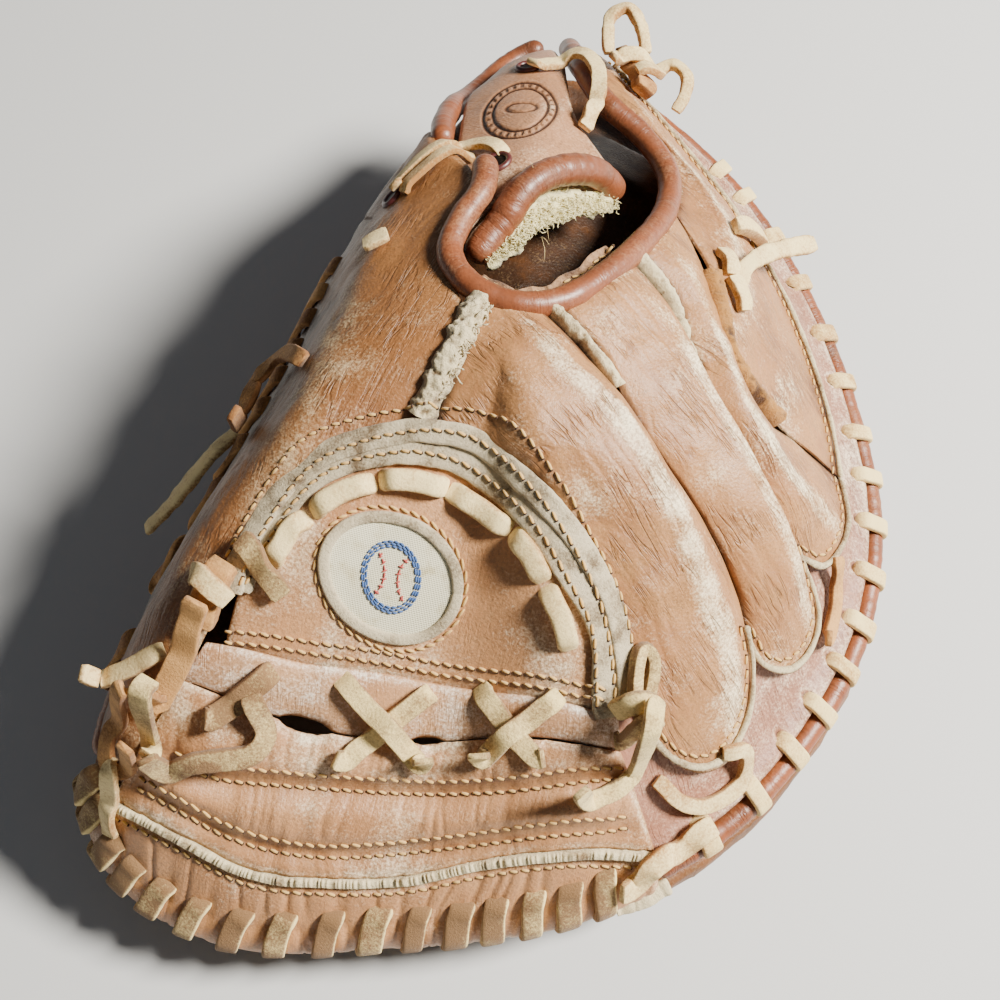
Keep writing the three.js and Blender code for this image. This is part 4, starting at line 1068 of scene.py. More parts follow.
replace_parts(pile_strip("thumb_side_pile", thumb_seam, 0.0, 1.0, THUMB_WELT_WIDE, THUMB_WELT_OVER + 1.6, 0.55,
                       pile_finish, 71), "thumb_welt")
golden_suede = hide("golden_suede", (180, 128, 64), (80, 50, 24), fibre=1500, bump=0.0008, soiled=0.9)
for number, (node, seam, start, stop, wide, over, finish) in enumerate((
    ("index_welt", index_seam, 0.0, 0.28, NARROW_WELT + 1.4, 5.2, suede_finish),
    ("middle_welt", middle_seam, 0.0, 0.48, NARROW_WELT + 1.0, 5.2, suede_finish),
    ("ring_welt", ring_seam, 0.24, 0.73, NARROW_WELT + 2.8, 7.2, golden_suede),
)):
    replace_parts(pile_strip(node.replace("welt", "side_pile"), seam, start, stop, wide, over, 0.5, finish,
                           75 + number), node)

pick = np.random.default_rng(9)
curls = []
for share in np.sort(pick.uniform(0.05, 0.9, 150)):
    x, y = thumb_seam(share)
    out = pick.uniform(1.0, 4.6)
    x, y = x + out * 0.9, y + out * 0.35
    foot = skin(x, y, 2.0 + pick.uniform(0, 1.6))
    curls.append((foot, foot + pick.normal(size=3) * (1.1, 1.1, 0.5) + (0.6, 0.2, 0.4)))
threads_piece("thumb_side_curls", curls, 0.5, pile_finish, bend=0.35)

# The opening for the hand is bound with thick glossy rolls of orange brown leather. The big loop runs from
# the heel round the opening, and a second roll edges the heel on the thumb's side.
HEEL_EDGE = [(-32, 89), (-34, 102), (-34, 114), (-34, 125), (-31, 138), (-25, 152), (-18, 160), (-11, 163)]
STRAP_EDGE = [(-16, 41, -8.8), (-10, 51, -6), (-3, 61, -2), (5, 71, -1.4), (15, 79, -2), (26, 85, -8.5)]
BINDING_RADIUS = 3.6
STRAP_ROLL = 4.4
binding_leather = leather("binding_leather", (142, 80, 48), (112, 60, 34), (206, 152, 112), (52, 27, 15),
                          rubbed=0.5, wrinkle=0.22, grain=0.3, turn=math.pi / 2, bump=0.00025,
                          gloss=0.55, coat=0.2)


def bound_edge(name, node, rows, over, radius, seed, crease=0.025):
    """A binding roll over the form, through x, y and height rows."""
    run = line([(row[0], row[1], row[2] if len(row) > 2 else over) for row in rows])(np.linspace(0, 1, 260))
    path = skin(run[:, 0], run[:, 1], run[:, 2])
    made = rolled(name, path, outward(run[:, 0], run[:, 1]), radius, binding_leather,
                  seed, crease)
    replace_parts(made, node)


bound_edge("opening_roll", "opening_binding", [(x, y, 0.8 if y < 140 else -1.0) for x, y in OPENING], 0,
           BINDING_RADIUS, 81)
bound_edge("heel_roll", "heel_binding", HEEL_EDGE, -1.2, BINDING_RADIUS, 83)

# The wrist strap is a leather tongue that comes from under the heel roll, with a tooled oval on it and a
# rolled end. A matted cream fleece pad lines it underneath and shows below the roll as a ragged edge.
STAMP = (-10.6, 104.5)
STAMP_ALONG = 12.2
STAMP_ACROSS = 16.5
strap_leather = leather("strap_leather", (184, 136, 100), (148, 102, 72), (236, 212, 180), (60, 36, 24),
                        rubbed=0.9, wrinkle=0.3, turn=0.6, gloss=0.5)
fleece_finish = hide("matted_fleece", (250, 238, 176), (190, 164, 96), fibre=1100, bump=0.0009, soiled=0.5,
                     sheen=0.5)


def shifted(rows, by):
    """Plan rows moved this far towards the heel and the thumb."""
    return [(row[0] - by * 0.7, row[1] + by * 0.7) for row in rows]


def stamped(x, y):
    """Tooled lines of the plain ornament: two ovals with short flutes between them round a small one."""
    a = (x - STAMP[0]) / STAMP_ALONG
    b = (y - STAMP[1]) / STAMP_ACROSS
    out = np.hypot(a, b)
    lines = np.exp(-((out - 1) / 0.045) ** 2) + np.exp(-((out - 0.76) / 0.045) ** 2)
    flutes = (np.sin(26 * np.arctan2(b, a)) > 0.2) * np.exp(-((out - 0.88) / 0.06) ** 4)
    leaf = np.exp(-((np.hypot(a, b * 2.4) - 0.42) / 0.07) ** 2)
    return np.clip(lines + 0.6 * flutes + 0.8 * leaf, 0, 1)


def strap_lift(u, v, x, y):
    risen = 2.4 * np.clip((v - 0.4) / 0.3, 0, 1)
    folds = 0.1 * creases(x, y, 30, 5, 92) * (v < 0.6)
    return risen + 0.7 * rumple(x, y, 15, 91) - 0.6 * stamped(x, y) + folds


def strap_look(u, v, x, y):
    worn = 0.35 * np.clip(rumple(x, y, 10, 93), 0, 1) + 0.25 * np.exp(-((v - 0.1) / 0.12) ** 2)
    return worn - 0.6 * stamped(x, y), 1.1 * stamped(x, y)


strap_near = line(shifted(STRAP_EDGE, STRAP_ROLL + 1))
strap_far = line([(-22, 149.5), (-16, 156.5), (-6, 158)])
strap_left = line([strap_near(0.0), (-22, 62), (-28, 80), (-30.2, 98), (-30.1, 124), (-27.7, 136),
                   strap_far(0.0)])
strap_right = line([strap_near(1.0), (16, 98), (9, 108), (3, 126), (-1, 142), strap_far(1.0)])
strap = leather_panel("wrist_tongue", {"near": strap_near, "far": strap_far, "left": strap_left,
                                       "right": strap_right},
                      strap_leather, low=-6.6, lift=strap_lift, look=strap_look, pitch=0.5)
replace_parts(strap, "wrist_strap")
bound_edge("strap_roll", "strap_binding", STRAP_EDGE, 0.0, STRAP_ROLL, 85, crease=0.035)


def fleece_lift(u, v, x, y):
    lumps = 0.9 * rumple(x, y, 2.6, 95) + 0.6 * rumple(x, y, 1.2, 96)
    return lumps - 1.4 * np.clip(0.14 - v, 0, 1) / 0.14


fleece_far = line([strap_left(0.35), (-8, 86), strap_right(0.35)])
fleece_near = line([(-11, 40), (-4, 45), (3, 52), (10, 60), (18, 68), (27, 77)])
fleece = leather_panel("strap_pad", {
    "near": fleece_near, "far": fleece_far,
    "left": line_between(fleece_near(0.0), fleece_far(0.0)),
    "right": line_between(fleece_near(1.0), fleece_far(1.0)),
}, fleece_finish, low=-10.0, lift=fleece_lift, pitch=0.55, curl=0.2, thick=2.2)
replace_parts(fleece, "strap_fleece")
tufts = []
for share in pick.uniform(0.0, 1.0, 1500):
    x, y = fleece_near(share) + pick.uniform(-0.3, 7.5) * np.array((-0.6, 0.75))
    foot = skin(x, y, -7.7 + pick.uniform(-0.5, 0.5))
    tufts.append((foot, foot + pick.normal(size=3) * (1.1, 0.9, 0.35) + (0.5, -0.3, 0.1)))
threads_piece("strap_pad_tufts", tufts, 0.34, fleece_finish, bend=0.4)

# Inside the lower lip of the opening the lining's raw edge is torn. It is a narrow strip of tan hide, sewn
# down with the panels' thread, and it wanders a little in and out.
LIP_INSIDE = 4.8
LIP_WANDER = 0.9
LIP_UNDER = 3.2
lip_shares = np.linspace(nearest_on_opening((-13, 27)), nearest_on_opening((27, 51)), 9)
lip_finish = hide("torn_lining", (168, 130, 96), (72, 46, 30), fibre=1500, soiled=0.6)
lip_rows = [(*opening_side(share, -LIP_INSIDE - LIP_WANDER * (number % 2)), -LIP_UNDER)
            for number, share in enumerate(lip_shares)]


def hide_band(name, rows, over, width, thick, finish, seed, crossed=0.0, ribs_apart=0.9, pitch=0.5):
    """A flat raw strip laid along plan rows, its edges uneven and its face ribbed where it is gathered."""
    run = line(rows)(np.linspace(0, 1, 240))
    wander = 0.3 * rumple(np.linspace(0, 90, 240), np.zeros(240), 5, seed)
    path = skin(run[:, 0], run[:, 1], (run[:, 2] if run.shape[1] > 2 else over) + wander)
    points, flat, angle = tube(path, outward(run[:, 0], run[:, 1]), width, thick, sides=20, squareness=0.55,
                               pitch=pitch, crease=0.03, round_ends=False, seed=seed)
    ribs = crossed * rumple(flat[..., 0], flat[..., 0] * 0, ribs_apart, seed + 2)
    points = points + np.stack([0 * ribs, 0 * ribs, ribs * np.sin(angle)], -1)
    mesh = grid_mesh(name, points, flat, closed=True)
    model = points_of(mesh) / MM + CENTRE
    paint(mesh, "grime_and_shade", 0.45 * np.clip(rumple(model[:, 0], model[:, 1], 3, seed + 3) + 0.2, 0, 1))
    piece = carries(shown(name, mesh, finish))
    return piece


# The web is a closed one: a domed panel under the arch, a shiny strip, a padded bar quilted by two double
# seams, and a narrow edge piece that the close lacing covers.
WEB_SEAM = [(-66, -68), (-42, -68), (-16, -66), (12, -66), (42, -67)]
WEB_SLOT = [(-71, -77), (-51, -80), (-30, -81), (-4, -78), (15, -75), (44, -74)]
WEB_FRINGE = [(-89, -105), (-69, -111), (-50, -116), (-31, -115), (-9, -111), (12, -104), (35, -98),
              (58, -93.5)]
UPPER_SEAM = [(-72, -95), (-61, -96), (-39, -94), (-6, -90), (19, -86), (38, -81), (46, -79)]
LOWER_SEAM = [(-82, -101), (-69, -105), (-53, -109), (-32, -109), (-4, -103), (20, -97), (44, -91),
              (49, -89)]
SEAM_APART = 2.3
SLOT_SHUT = -0.5
# place and width of each slit as shares of the slot's length, and how far it opens
SLITS = ((0.285, 0.055, 1.0), (0.56, 0.035, 0.6))
web_leather = leather("web_leather", (202, 150, 104), (164, 112, 70), (250, 234, 200), (88, 52, 32),
                      rubbed=0.9, wrinkle=0.15, turn=math.radians(-80), grain=0.75, gloss=0.55, coat=0.05)
strip_leather = leather("strip_leather", (202, 156, 114), (170, 120, 80), (246, 240, 224), (98, 64, 42),
                        rubbed=1.0, wrinkle=0.25, turn=math.radians(85), grain=0.6, gloss=0.6, coat=0.1)
arch = line(ARCH)
web_seam, web_slot, web_fringe = line(WEB_SEAM), line(WEB_SLOT), line(WEB_FRINGE)
web_rim = line(rim_point(np.linspace(229.5, 299, 90), 1.2))


def between(near, far):
    """The four edges of a panel between two plan lines."""
    return {"near": near, "far": far, "left": line_between(near(0.0), far(0.0)),
            "right": line_between(near(1.0), far(1.0))}


def sewn_down(x, y, seams, wide):
    """1 on a seam's rows of stitches and 0 this far from them."""
    return np.maximum.reduce([np.exp(-(away_from(rows, x, y) / wide) ** 2) for rows in seams])


def web_panel_lift(u, v, x, y):
    dome = 1.6 * np.sin(math.pi * u) * np.sin(math.pi * np.clip(v, 0, 1)) ** 0.8
    return dome - 0.5 + 0.35 * rumple(x, y, 14, 101) - 0.5 * sewn_down(x, y, [WEB_SEAM], 2.2)


def web_panel_look(u, v, x, y):
    worn = 0.42 * np.clip(rumple(x, y, 15, 102), 0, 1) + 0.35 * np.exp(-((u - 0.86) / 0.08) ** 2)
    return worn, 0.3 * sewn_down(x, y, [WEB_SEAM], 1.6)


def web_strip_lift(u, v, x, y):
    return 1.1 * np.sin(math.pi * v) ** 0.7 + 0.25 * rumple(x, y, 9, 103) - 0.5


def web_strip_look(u, v, x, y):
    return 0.55 * np.clip(rumple(x, y, 13, 104) + 0.3, 0, 1) * np.sin(math.pi * v), 0.25 * (v > 0.85)


def web_bar_lift(u, v, x, y):
    held = sewn_down(x, y, [UPPER_SEAM, LOWER_SEAM], 3.2)
    puff = 3.6 * (1 - held) * np.sin(math.pi * np.clip(v, 0.04, 0.96)) ** 0.4
    puff = puff * np.minimum(1, 7 * u * (1 - u) + 0.25)
    pleats = creases(x, y, 84, 2.9, 105)
    return puff + 0.45 * pleats * (1 - 0.5 * held) + 0.35 * rumple(x, y, 9, 106)


def web_bar_look(u, v, x, y):
    held = sewn_down(x, y, [UPPER_SEAM, LOWER_SEAM], 2.0)
    worn = 0.4 * np.clip(rumple(x, y, 12, 107), 0, 1) + 0.25 * np.exp(-((v - 0.2) / 0.12) ** 2)
    return worn - 0.2 * held, 0.28 * held + 0.08 * np.clip(-creases(x, y, 84, 2.6, 105), 0, 1)


def web_edge_lift(u, v, x, y):
    """The edge piece is drawn round the cord under it, and gathered between the turns of lace."""
    round_cord = np.sqrt(np.clip(5.0 ** 2 - (inset_of(x, y) - ROLL_INSET) ** 2, 0, None)) - ROLL_UNDER - 1.3
    flat = np.minimum(0.0, (inset_of(x, y) - 2) * 2)
    lift = np.where(inset_of(x, y) > ROLL_INSET, np.maximum(round_cord, flat), round_cord)
    return lift + 0.2 * rumple(x, y, 6, 108) + 0.7 * creases(x, y, 88, 3.4, 109)


def slot_room(open_by):
    """Room at the slot: the panels meet but for two slits between the crossed laces."""
    def room(u):
        gapes = [deep * np.exp(-((u - at) / wide) ** 4) for at, wide, deep in SLITS]
        return SLOT_SHUT + (open_by - SLOT_SHUT) * np.maximum.reduce(gapes)
    return room


for name, node, edges, finish, lift, look, margins in (
    ("web_dome", "web_panel", between(lambda t: arch(0.07 + 0.86 * np.asarray(t)),
                                      lambda t: web_seam(0.03 + 0.94 * np.asarray(t))),
     web_leather, web_panel_lift, web_panel_look, (1.5, 1.5, 1.0, -0.7)),
    ("web_shiny_strip", "web_strip", between(web_seam, web_slot), strip_leather, web_strip_lift,
     web_strip_look, (-1.5, 0.1, -0.7, slot_room(1.5))),
    ("web_padded_bar", "web_bar", between(web_slot, web_fringe), web_leather, web_bar_lift, web_bar_look,
     (-1.5, 0.1, slot_room(1.3), 1.2)),
    ("web_edge_piece", "web_edge", between(web_fringe, web_rim), web_leather, web_edge_lift, None,
     (0.5, 0.5, 1.2, 0)),
):
    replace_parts(leather_panel(name, edges, finish, lift, 0.7, look, margins=margins), node)

# Two bands of grey suede are sewn one over the other along the arch, raw edges showing, and a raw fringe of
# the same hide is caught in the seam along the web's edge. The torn strip of lining lies in the lip alike.
BAND_OUTER = [(-60, -56), (-59, -49), (-47, -26), (-32, -17), (-18, -13), (-2, -13), (12, -22), (25, -33),
              (35, -44), (41, -58), (42.5, -64)]
BAND_INNER = [(-59, -55), (-56.5, -47), (-44, -27), (-26, -18.5), (-5, -17.5), (11, -26.5), (24, -38.5),
              (34, -50), (37.5, -63), (38.5, -67)]
hide_band("torn_lip", lip_rows, 0.0, 3.0, 1.0, lip_finish, 117, crossed=0.5)
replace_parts(hide_band("arch_band", BAND_OUTER, 3.2, 6.4, 2.2, band_finish, 111), "web_arch_band")
hide_band("arch_inner_band", BAND_INNER, 2.2, 8.0, 2.0, band_finish, 113)
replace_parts(hide_band("edge_fringe", WEB_FRINGE, 1.4, 2.6, 3.4, suede_finish, 115, crossed=0.55,
                      ribs_apart=0.45, pitch=0.25), "web_fringe")
hide_band("corner_suede", [(50, -108, -0.6), (57, -104.5, -0.2), (64, -99.5, -0.6)], 0.0, 6.0, 1.6,
          suede_finish, 119, crossed=0.2)

# The oval patch on the web is cream woven cloth under a ring of pale suede, sewn round. Its motif is a plain
# one: a ball with two curved seams, worked in faded blue and red thread.
PATCH_MIDDLE = (-21.0, -46.4)
PATCH_ALONG = 17.2
PATCH_ACROSS = 12.6
RING_WIDE = 3.0
BALL_RADIUS = 6.4
cloth_finish, cloth_tree, cloth_shader = new_finish("patch_cloth")
cloth_lie = shader_node(cloth_tree, "UVMap", uv_map="lie").outputs["UV"]
warp, weft = (shader_node(cloth_tree, "TexWave", {"Vector": cloth_lie, "Scale": 0.75, "Distortion": 0.3},
                          bands_direction=way).outputs["Fac"] for way in "XY")
weave = product(cloth_tree, warp, weft)
stain = noise(cloth_tree, shader_node(cloth_tree, "TexCoord").outputs["Object"], 160, 4, 0.6)
cloth_colour = mixed(cloth_tree, stepped(cloth_tree, stain, 0.5, 0.8), seen(226, 220, 190),
                     seen(190, 178, 136))
cloth_tree.links.new(cloth_colour, cloth_shader.inputs["Base Color"])
cloth_bump = shader_node(cloth_tree, "Bump", {"Height": weave, "Distance": 0.0002, "Strength": 0.8})
cloth_tree.links.new(cloth_bump.outputs["Normal"], cloth_shader.inputs["Normal"])
cloth_shader.inputs["Roughness"].default_value = 0.85


def oval(scale, degrees, wide=0.0):
    """Plan points on the patch's oval, scaled, and then this much wider all round."""
    a = np.radians(degrees)
    return (PATCH_MIDDLE[0] + (PATCH_ALONG * scale + wide) * np.cos(a),
            PATCH_MIDDLE[1] + (PATCH_ACROSS * scale + wide) * np.sin(a))


def on_top(x, y, over):
    """Points over whatever is laid at plan points, in mm."""
    x, y = np.asarray(x, float), np.asarray(y, float)
    flat_x, flat_y = x.ravel(), y.ravel()
    tops, _ = standing(flat_x, flat_y, 0.3)
    return np.stack([x, y, tops.reshape(x.shape) + over], -1)


ring_degrees = np.linspace(0, 360, 121)
round_x, round_y = oval(1.0, ring_degrees)
middle_out = outward(np.array(PATCH_MIDDLE[0]), np.array(PATCH_MIDDLE[1]))
share, spoke = np.meshgrid(np.linspace(0.0, 1.0, 30), ring_degrees)
cloth_x, cloth_y = oval(share * 0.92, spoke)
cloth_points = on_top(cloth_x, cloth_y, 0.55)
patch_mesh = grid_mesh("patch_field", cloth_points, np.stack([cloth_x, cloth_y], -1))
patch_shape = bmesh.new()
patch_shape.from_mesh(patch_mesh)
bmesh.ops.remove_doubles(patch_shape, verts=patch_shape.verts, dist=1e-6)
patch_shape.to_mesh(patch_mesh)
patch_shape.free()
patch = carries(shown("patch_field", patch_mesh, cloth_finish))
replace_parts(patch, "web_patch")
ring_path = on_top(round_x, round_y, 0.5)
ring_points, ring_flat, _ = tube(ring_path, np.broadcast_to(middle_out, ring_path.shape), RING_WIDE, 2.0,
                                 sides=16, squareness=0.6, pitch=0.4, crease=0.02, round_ends=False, seed=121)
ring_mesh = grid_mesh("patch_edge", ring_points, ring_flat, closed=True)
paint(ring_mesh, "grime_and_shade", np.zeros(len(ring_mesh.vertices)))
patch_ring = carries(shown("patch_edge", ring_mesh, band_finish))
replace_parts(patch_ring, "patch_ring")

# Rawhide lace is whipped over the rim roll through the punched holes. Along the fingers it is cream and
# narrow, along the thumb tan, painted darker as the shade on that side, and along the web wide, brown on its
# face and pale yellow on one cut edge, a painted highlight where the light catches it.
RIM_LACE = 5.2
WEB_LACE = 6.3
WEB_LACE_THICK = 2.8
leather_laid = len(rests_on)
THUMB_HOLE = 14.0
WEB_HOLE = 11.2
LACE_SQUARE = 0.24
WHIPPED_SQUARE = 0.42
rim_lace_finish = hide("rim_lace", (246, 220, 156), (168, 120, 66), fibre=1500, bump=0.0003, soiled=0.4,
                       sheen=0.1)
web_lace_finish = hide("web_lace", (246, 220, 152), (134, 102, 68), fibre=1500, bump=0.0004, soiled=0.5,
                       sheen=0.15)
# Tan lace. Along the thumb's side it is painted shade: the cream lace there, darkened as the shadow on that
# side.
tan_and_shaded_lace_finish = hide("tan_and_shaded_lace", (208, 158, 98), (132, 88, 50), fibre=1400, bump=0.0003, soiled=0.5,
                       sheen=0.1)
# angle round the roll, from over its top to below its outer side
BAR_ANGLES = (78, 56, 32, 8, -18, -44, -70, -95)


def whipped_bar(degrees, slope, top, hole, over):
    """Path of one turn of lace, from its hole in the leather over the roll, and the way its face looks."""
    middle = roll_middle(np.array(float(degrees)))
    plan = rim_point(np.array(float(degrees)), ROLL_INSET)
    along = unit(roll_middle(np.array(degrees + 1.5)) - roll_middle(np.array(degrees - 1.5)))
    face = outward(plan[0], plan[1])
    out = np.cross(along, face)
    if out[:2] @ (plan - CROWN[:2]) < 0:
        out = -out
    face = unit(np.cross(out, along))
    face = face if face[2] > 0 else -face
    reach = ROLL + over + LACE_THICK / 2
    angles = np.radians(BAR_ANGLES)
    ways = np.cos(angles)[:, None] * out + np.sin(angles)[:, None] * face
    path = middle + reach * ways
    lead = []
    for inwards, risen in ((0.0, -2.2), (0.3, -0.4), (1.0, 0.8), (2.4, 1.1)):
        foot = rim_point(np.array(float(degrees)), hole - inwards)
        lead.append(skin(foot[0], foot[1], top + risen))
    path = np.vstack([lead, path])
    ways = np.vstack([unit(face * 0.3 - out), unit(face - out), unit(face - out * 0.3), face, ways])
    share = np.linspace(-0.5, 0.5, len(path))[:, None]
    path = path + along * slope * share
    smooth_path = line(path)(np.linspace(0, 1, 40))
    smooth_ways = unit(line(ways)(np.linspace(0, 1, 40)))
    return smooth_path, smooth_ways


def whipped_lace(name, node, bars, width, thick, slope, top, hole, over, finish, face_soiled, seed):
    """All the turns of lace over one stretch of the rim, as one piece."""
    whole = bmesh.new()
    for number, degrees in enumerate(bars):
        pick_bar = np.random.default_rng(seed + number)
        path, ways = whipped_bar(degrees, slope + pick_bar.normal() * 0.7, top, hole, over)
        points, flat, angle = tube(path, ways, width * (1 + 0.06 * pick_bar.normal()), thick, sides=24,
                                   squareness=WHIPPED_SQUARE, pitch=0.7, crease=0.02, round_ends=False,
                                   seed=seed + number)
        # lit_edge is a painted highlight: one cut edge of each turn is kept pale, where the light catches it.
        lit_edge = np.clip(np.cos(angle) - 0.55, 0, 1) / 0.45
        soiled = face_soiled * (1 - 1.6 * lit_edge) + 0.15 * pick_bar.normal()
        ends = np.abs(np.linspace(-1, 1, len(points)))[:, None] ** 4
        mesh = grid_mesh(name, points, flat, closed=True, marks={"grime_and_shade": soiled + 0.5 * ends})
        whole.from_mesh(mesh)
        bpy.data.meshes.remove(mesh)
    piece = carries(shown(name, mesh_of(name, whole), finish))
    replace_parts(piece, node)


whipped_lace("finger_rim_turns", "finger_rim_lace", FINGER_BARS, RIM_LACE, 2.2, 1.0,
             FLANGE_LOW + LEATHER + 1.0, FINGER_HOLE, -0.5, rim_lace_finish, 0.1, 201)
# The thumb's turns take the tan lace, painted darker as the shade on that side.
whipped_lace("thumb_rim_turns", "thumb_rim_lace", THUMB_BARS, RIM_LACE, LACE_THICK, 1.0, 1.3, THUMB_HOLE,
             0.3, tan_and_shaded_lace_finish, 0.2, 231)
whipped_lace("web_rim_turns", "web_edge_lace", WEB_BARS, WEB_LACE, WEB_LACE_THICK, -5.4, 1.3, WEB_HOLE, 1.3,
             web_lace_finish, 0.75, 261)

# The finger lace goes into round holes punched in the flange. Each hole is dark, and shows as a disc of
# shadow round the foot of its turn of lace.
PUNCHED_RADIUS = 2.3
# Near black leather: the painted shadow in the lace and eyelet holes.
hole_shadow_finish = leather("hole_shadow", (26, 18, 14), (20, 14, 12), (60, 44, 34), (8, 6, 5), rubbed=0.2,
                      wrinkle=0.1, gloss=0.2)


def seat_on(x, y, over):
    """Place and turn of a small part that sits this far over the leather."""
    tops, ways = standing(x, y, 0.3, leather_laid)
    turned = Vector(ways[0]).to_track_quat("Z", "Y").to_matrix().to_4x4()
    return Matrix.Translation(Vector(placed((x, y, tops[0] + over)))) @ turned


punched = bmesh.new()
for degrees in FINGER_BARS:
    x, y = rim_point(np.array(float(degrees)), FINGER_HOLE + 0.7)
    bmesh.ops.create_circle(punched, cap_ends=True, segments=20, radius=PUNCHED_RADIUS * MM,
                            matrix=seat_on(x, y, 0.25))
shown("finger_lace_holes", mesh_of("finger_lace_holes", punched), hole_shadow_finish)

# One long rawhide lace ties the web and the fingers: flat, about 6 mm wide, cream where it is smooth and
# tan and rough on its cut sides. It goes in and out of the leather, and its spare ends are knotted.
lace_finish = hide("smooth_lace", (248, 224, 164), (164, 116, 64), fibre=1400, bump=0.00025, soiled=0.35,
                   sheen=0.1)
ARCH_HOLES = [(-52, -50), (-43.5, -36.5), (-27.5, -26.5), (-9, -25), (8, -32.5), (18.5, -43.5), (27.5, -57)]
ARCH_LACE_WIDE = 5.8
ARCH_LACE_THICK = 3.0
ARCH_SQUARE = 0.6
LACE_STEP = 0.9
DIVE_LONG = 1.7


def laid_lace(name, rows, width, thick, soiled, seed, finish=lace_finish, lift=0.0, dips=0.0, crease=0.015,
              free=None, square=LACE_SQUARE):
    """A lace over whatever lies below it. Dips are how far its two ends dive into the leather: one number, or
    two where they differ. A free lace stands clear, with its face turned the given way."""
    run = line([(row[0], row[1], row[2] if len(row) > 2 else 0.0) for row in rows])
    plan = np.array([row[:2] for row in rows], float)
    count = max(12, int(paces(plan).sum() / LACE_STEP))
    run = run(np.linspace(0, 1, count))
    if free is None:
        tops, ways = standing(run[:, 0], run[:, 1], width * 0.32)
        tops = np.maximum.reduce([np.roll(tops, 1), tops, np.roll(tops, -1)]) if count > 20 else tops
        tops = eased(tops, 7)
        ways = unit(eased(ways, 9))
        gone = np.linspace(0, 1, count) * paces(run[:, :2]).sum()
        first, last = np.broadcast_to(dips, 2)
        dive = first * np.exp(-(gone / DIVE_LONG) ** 2) + last * np.exp(-((gone[-1] - gone) / DIVE_LONG) ** 2)
        over = run[:, 2] + lift + thick / 2 + 0.1 - dive
        path = np.column_stack([run[:, 0], run[:, 1], tops]) + ways * over[:, None]
    else:
        path, ways = run, np.broadcast_to(unit(np.array(free, float)), run.shape)
    points, flat, angle = tube(path, ways, width, thick, sides=20, squareness=square, pitch=0.7,
                               crease=crease, round_ends=False, seed=seed)
    sides = np.abs(np.cos(angle)) ** 3
    mesh = grid_mesh(name, points, flat, closed=True, marks={"grime_and_shade": soiled + 0.45 * sides})
    piece = carries(shown(name, mesh, finish))
    return piece


for number, (first, last) in enumerate(zip(ARCH_HOLES[:-1], ARCH_HOLES[1:])):
    run = np.array(last) - first
    trim = run / np.linalg.norm(run) * 1.1
    bulge = np.array((-run[1], run[0])) / np.linalg.norm(run) * (0.9 if run[0] > 0 else 0)
    middle = (np.array(first) + last) / 2 + bulge
    segment = laid_lace(f"arch_lace_{number + 1}", [np.array(first) + trim, middle, np.array(last) - trim],
                        ARCH_LACE_WIDE, ARCH_LACE_THICK, 0.05, 301 + number, dips=3.4, square=ARCH_SQUARE)
    if number == 0:
        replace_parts(segment, "web_arch_lace")

WEB_CROSSES = (
    ("cross_lace_1a", [(-29, -90), (-19, -79), (-7, -68)], 0.0, None),
    ("cross_lace_1b", [(-31, -70), (-19, -78), (-6, -87)], 0.2, "web_cross_lace_1"),
    ("cross_lace_2a", [(5, -66), (14, -74), (24, -82)], 0.0, "web_cross_lace_2"),
    ("cross_lace_2b", [(7, -84), (16, -75), (26, -66)], 0.2, None),
)
for number, (name, rows, lift, node) in enumerate(WEB_CROSSES):
    made = laid_lace(name, rows, 5.6, 1.8, 0.2, 311 + number, web_lace_finish, lift, dips=2.6)
    if node:
        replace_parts(made, node)

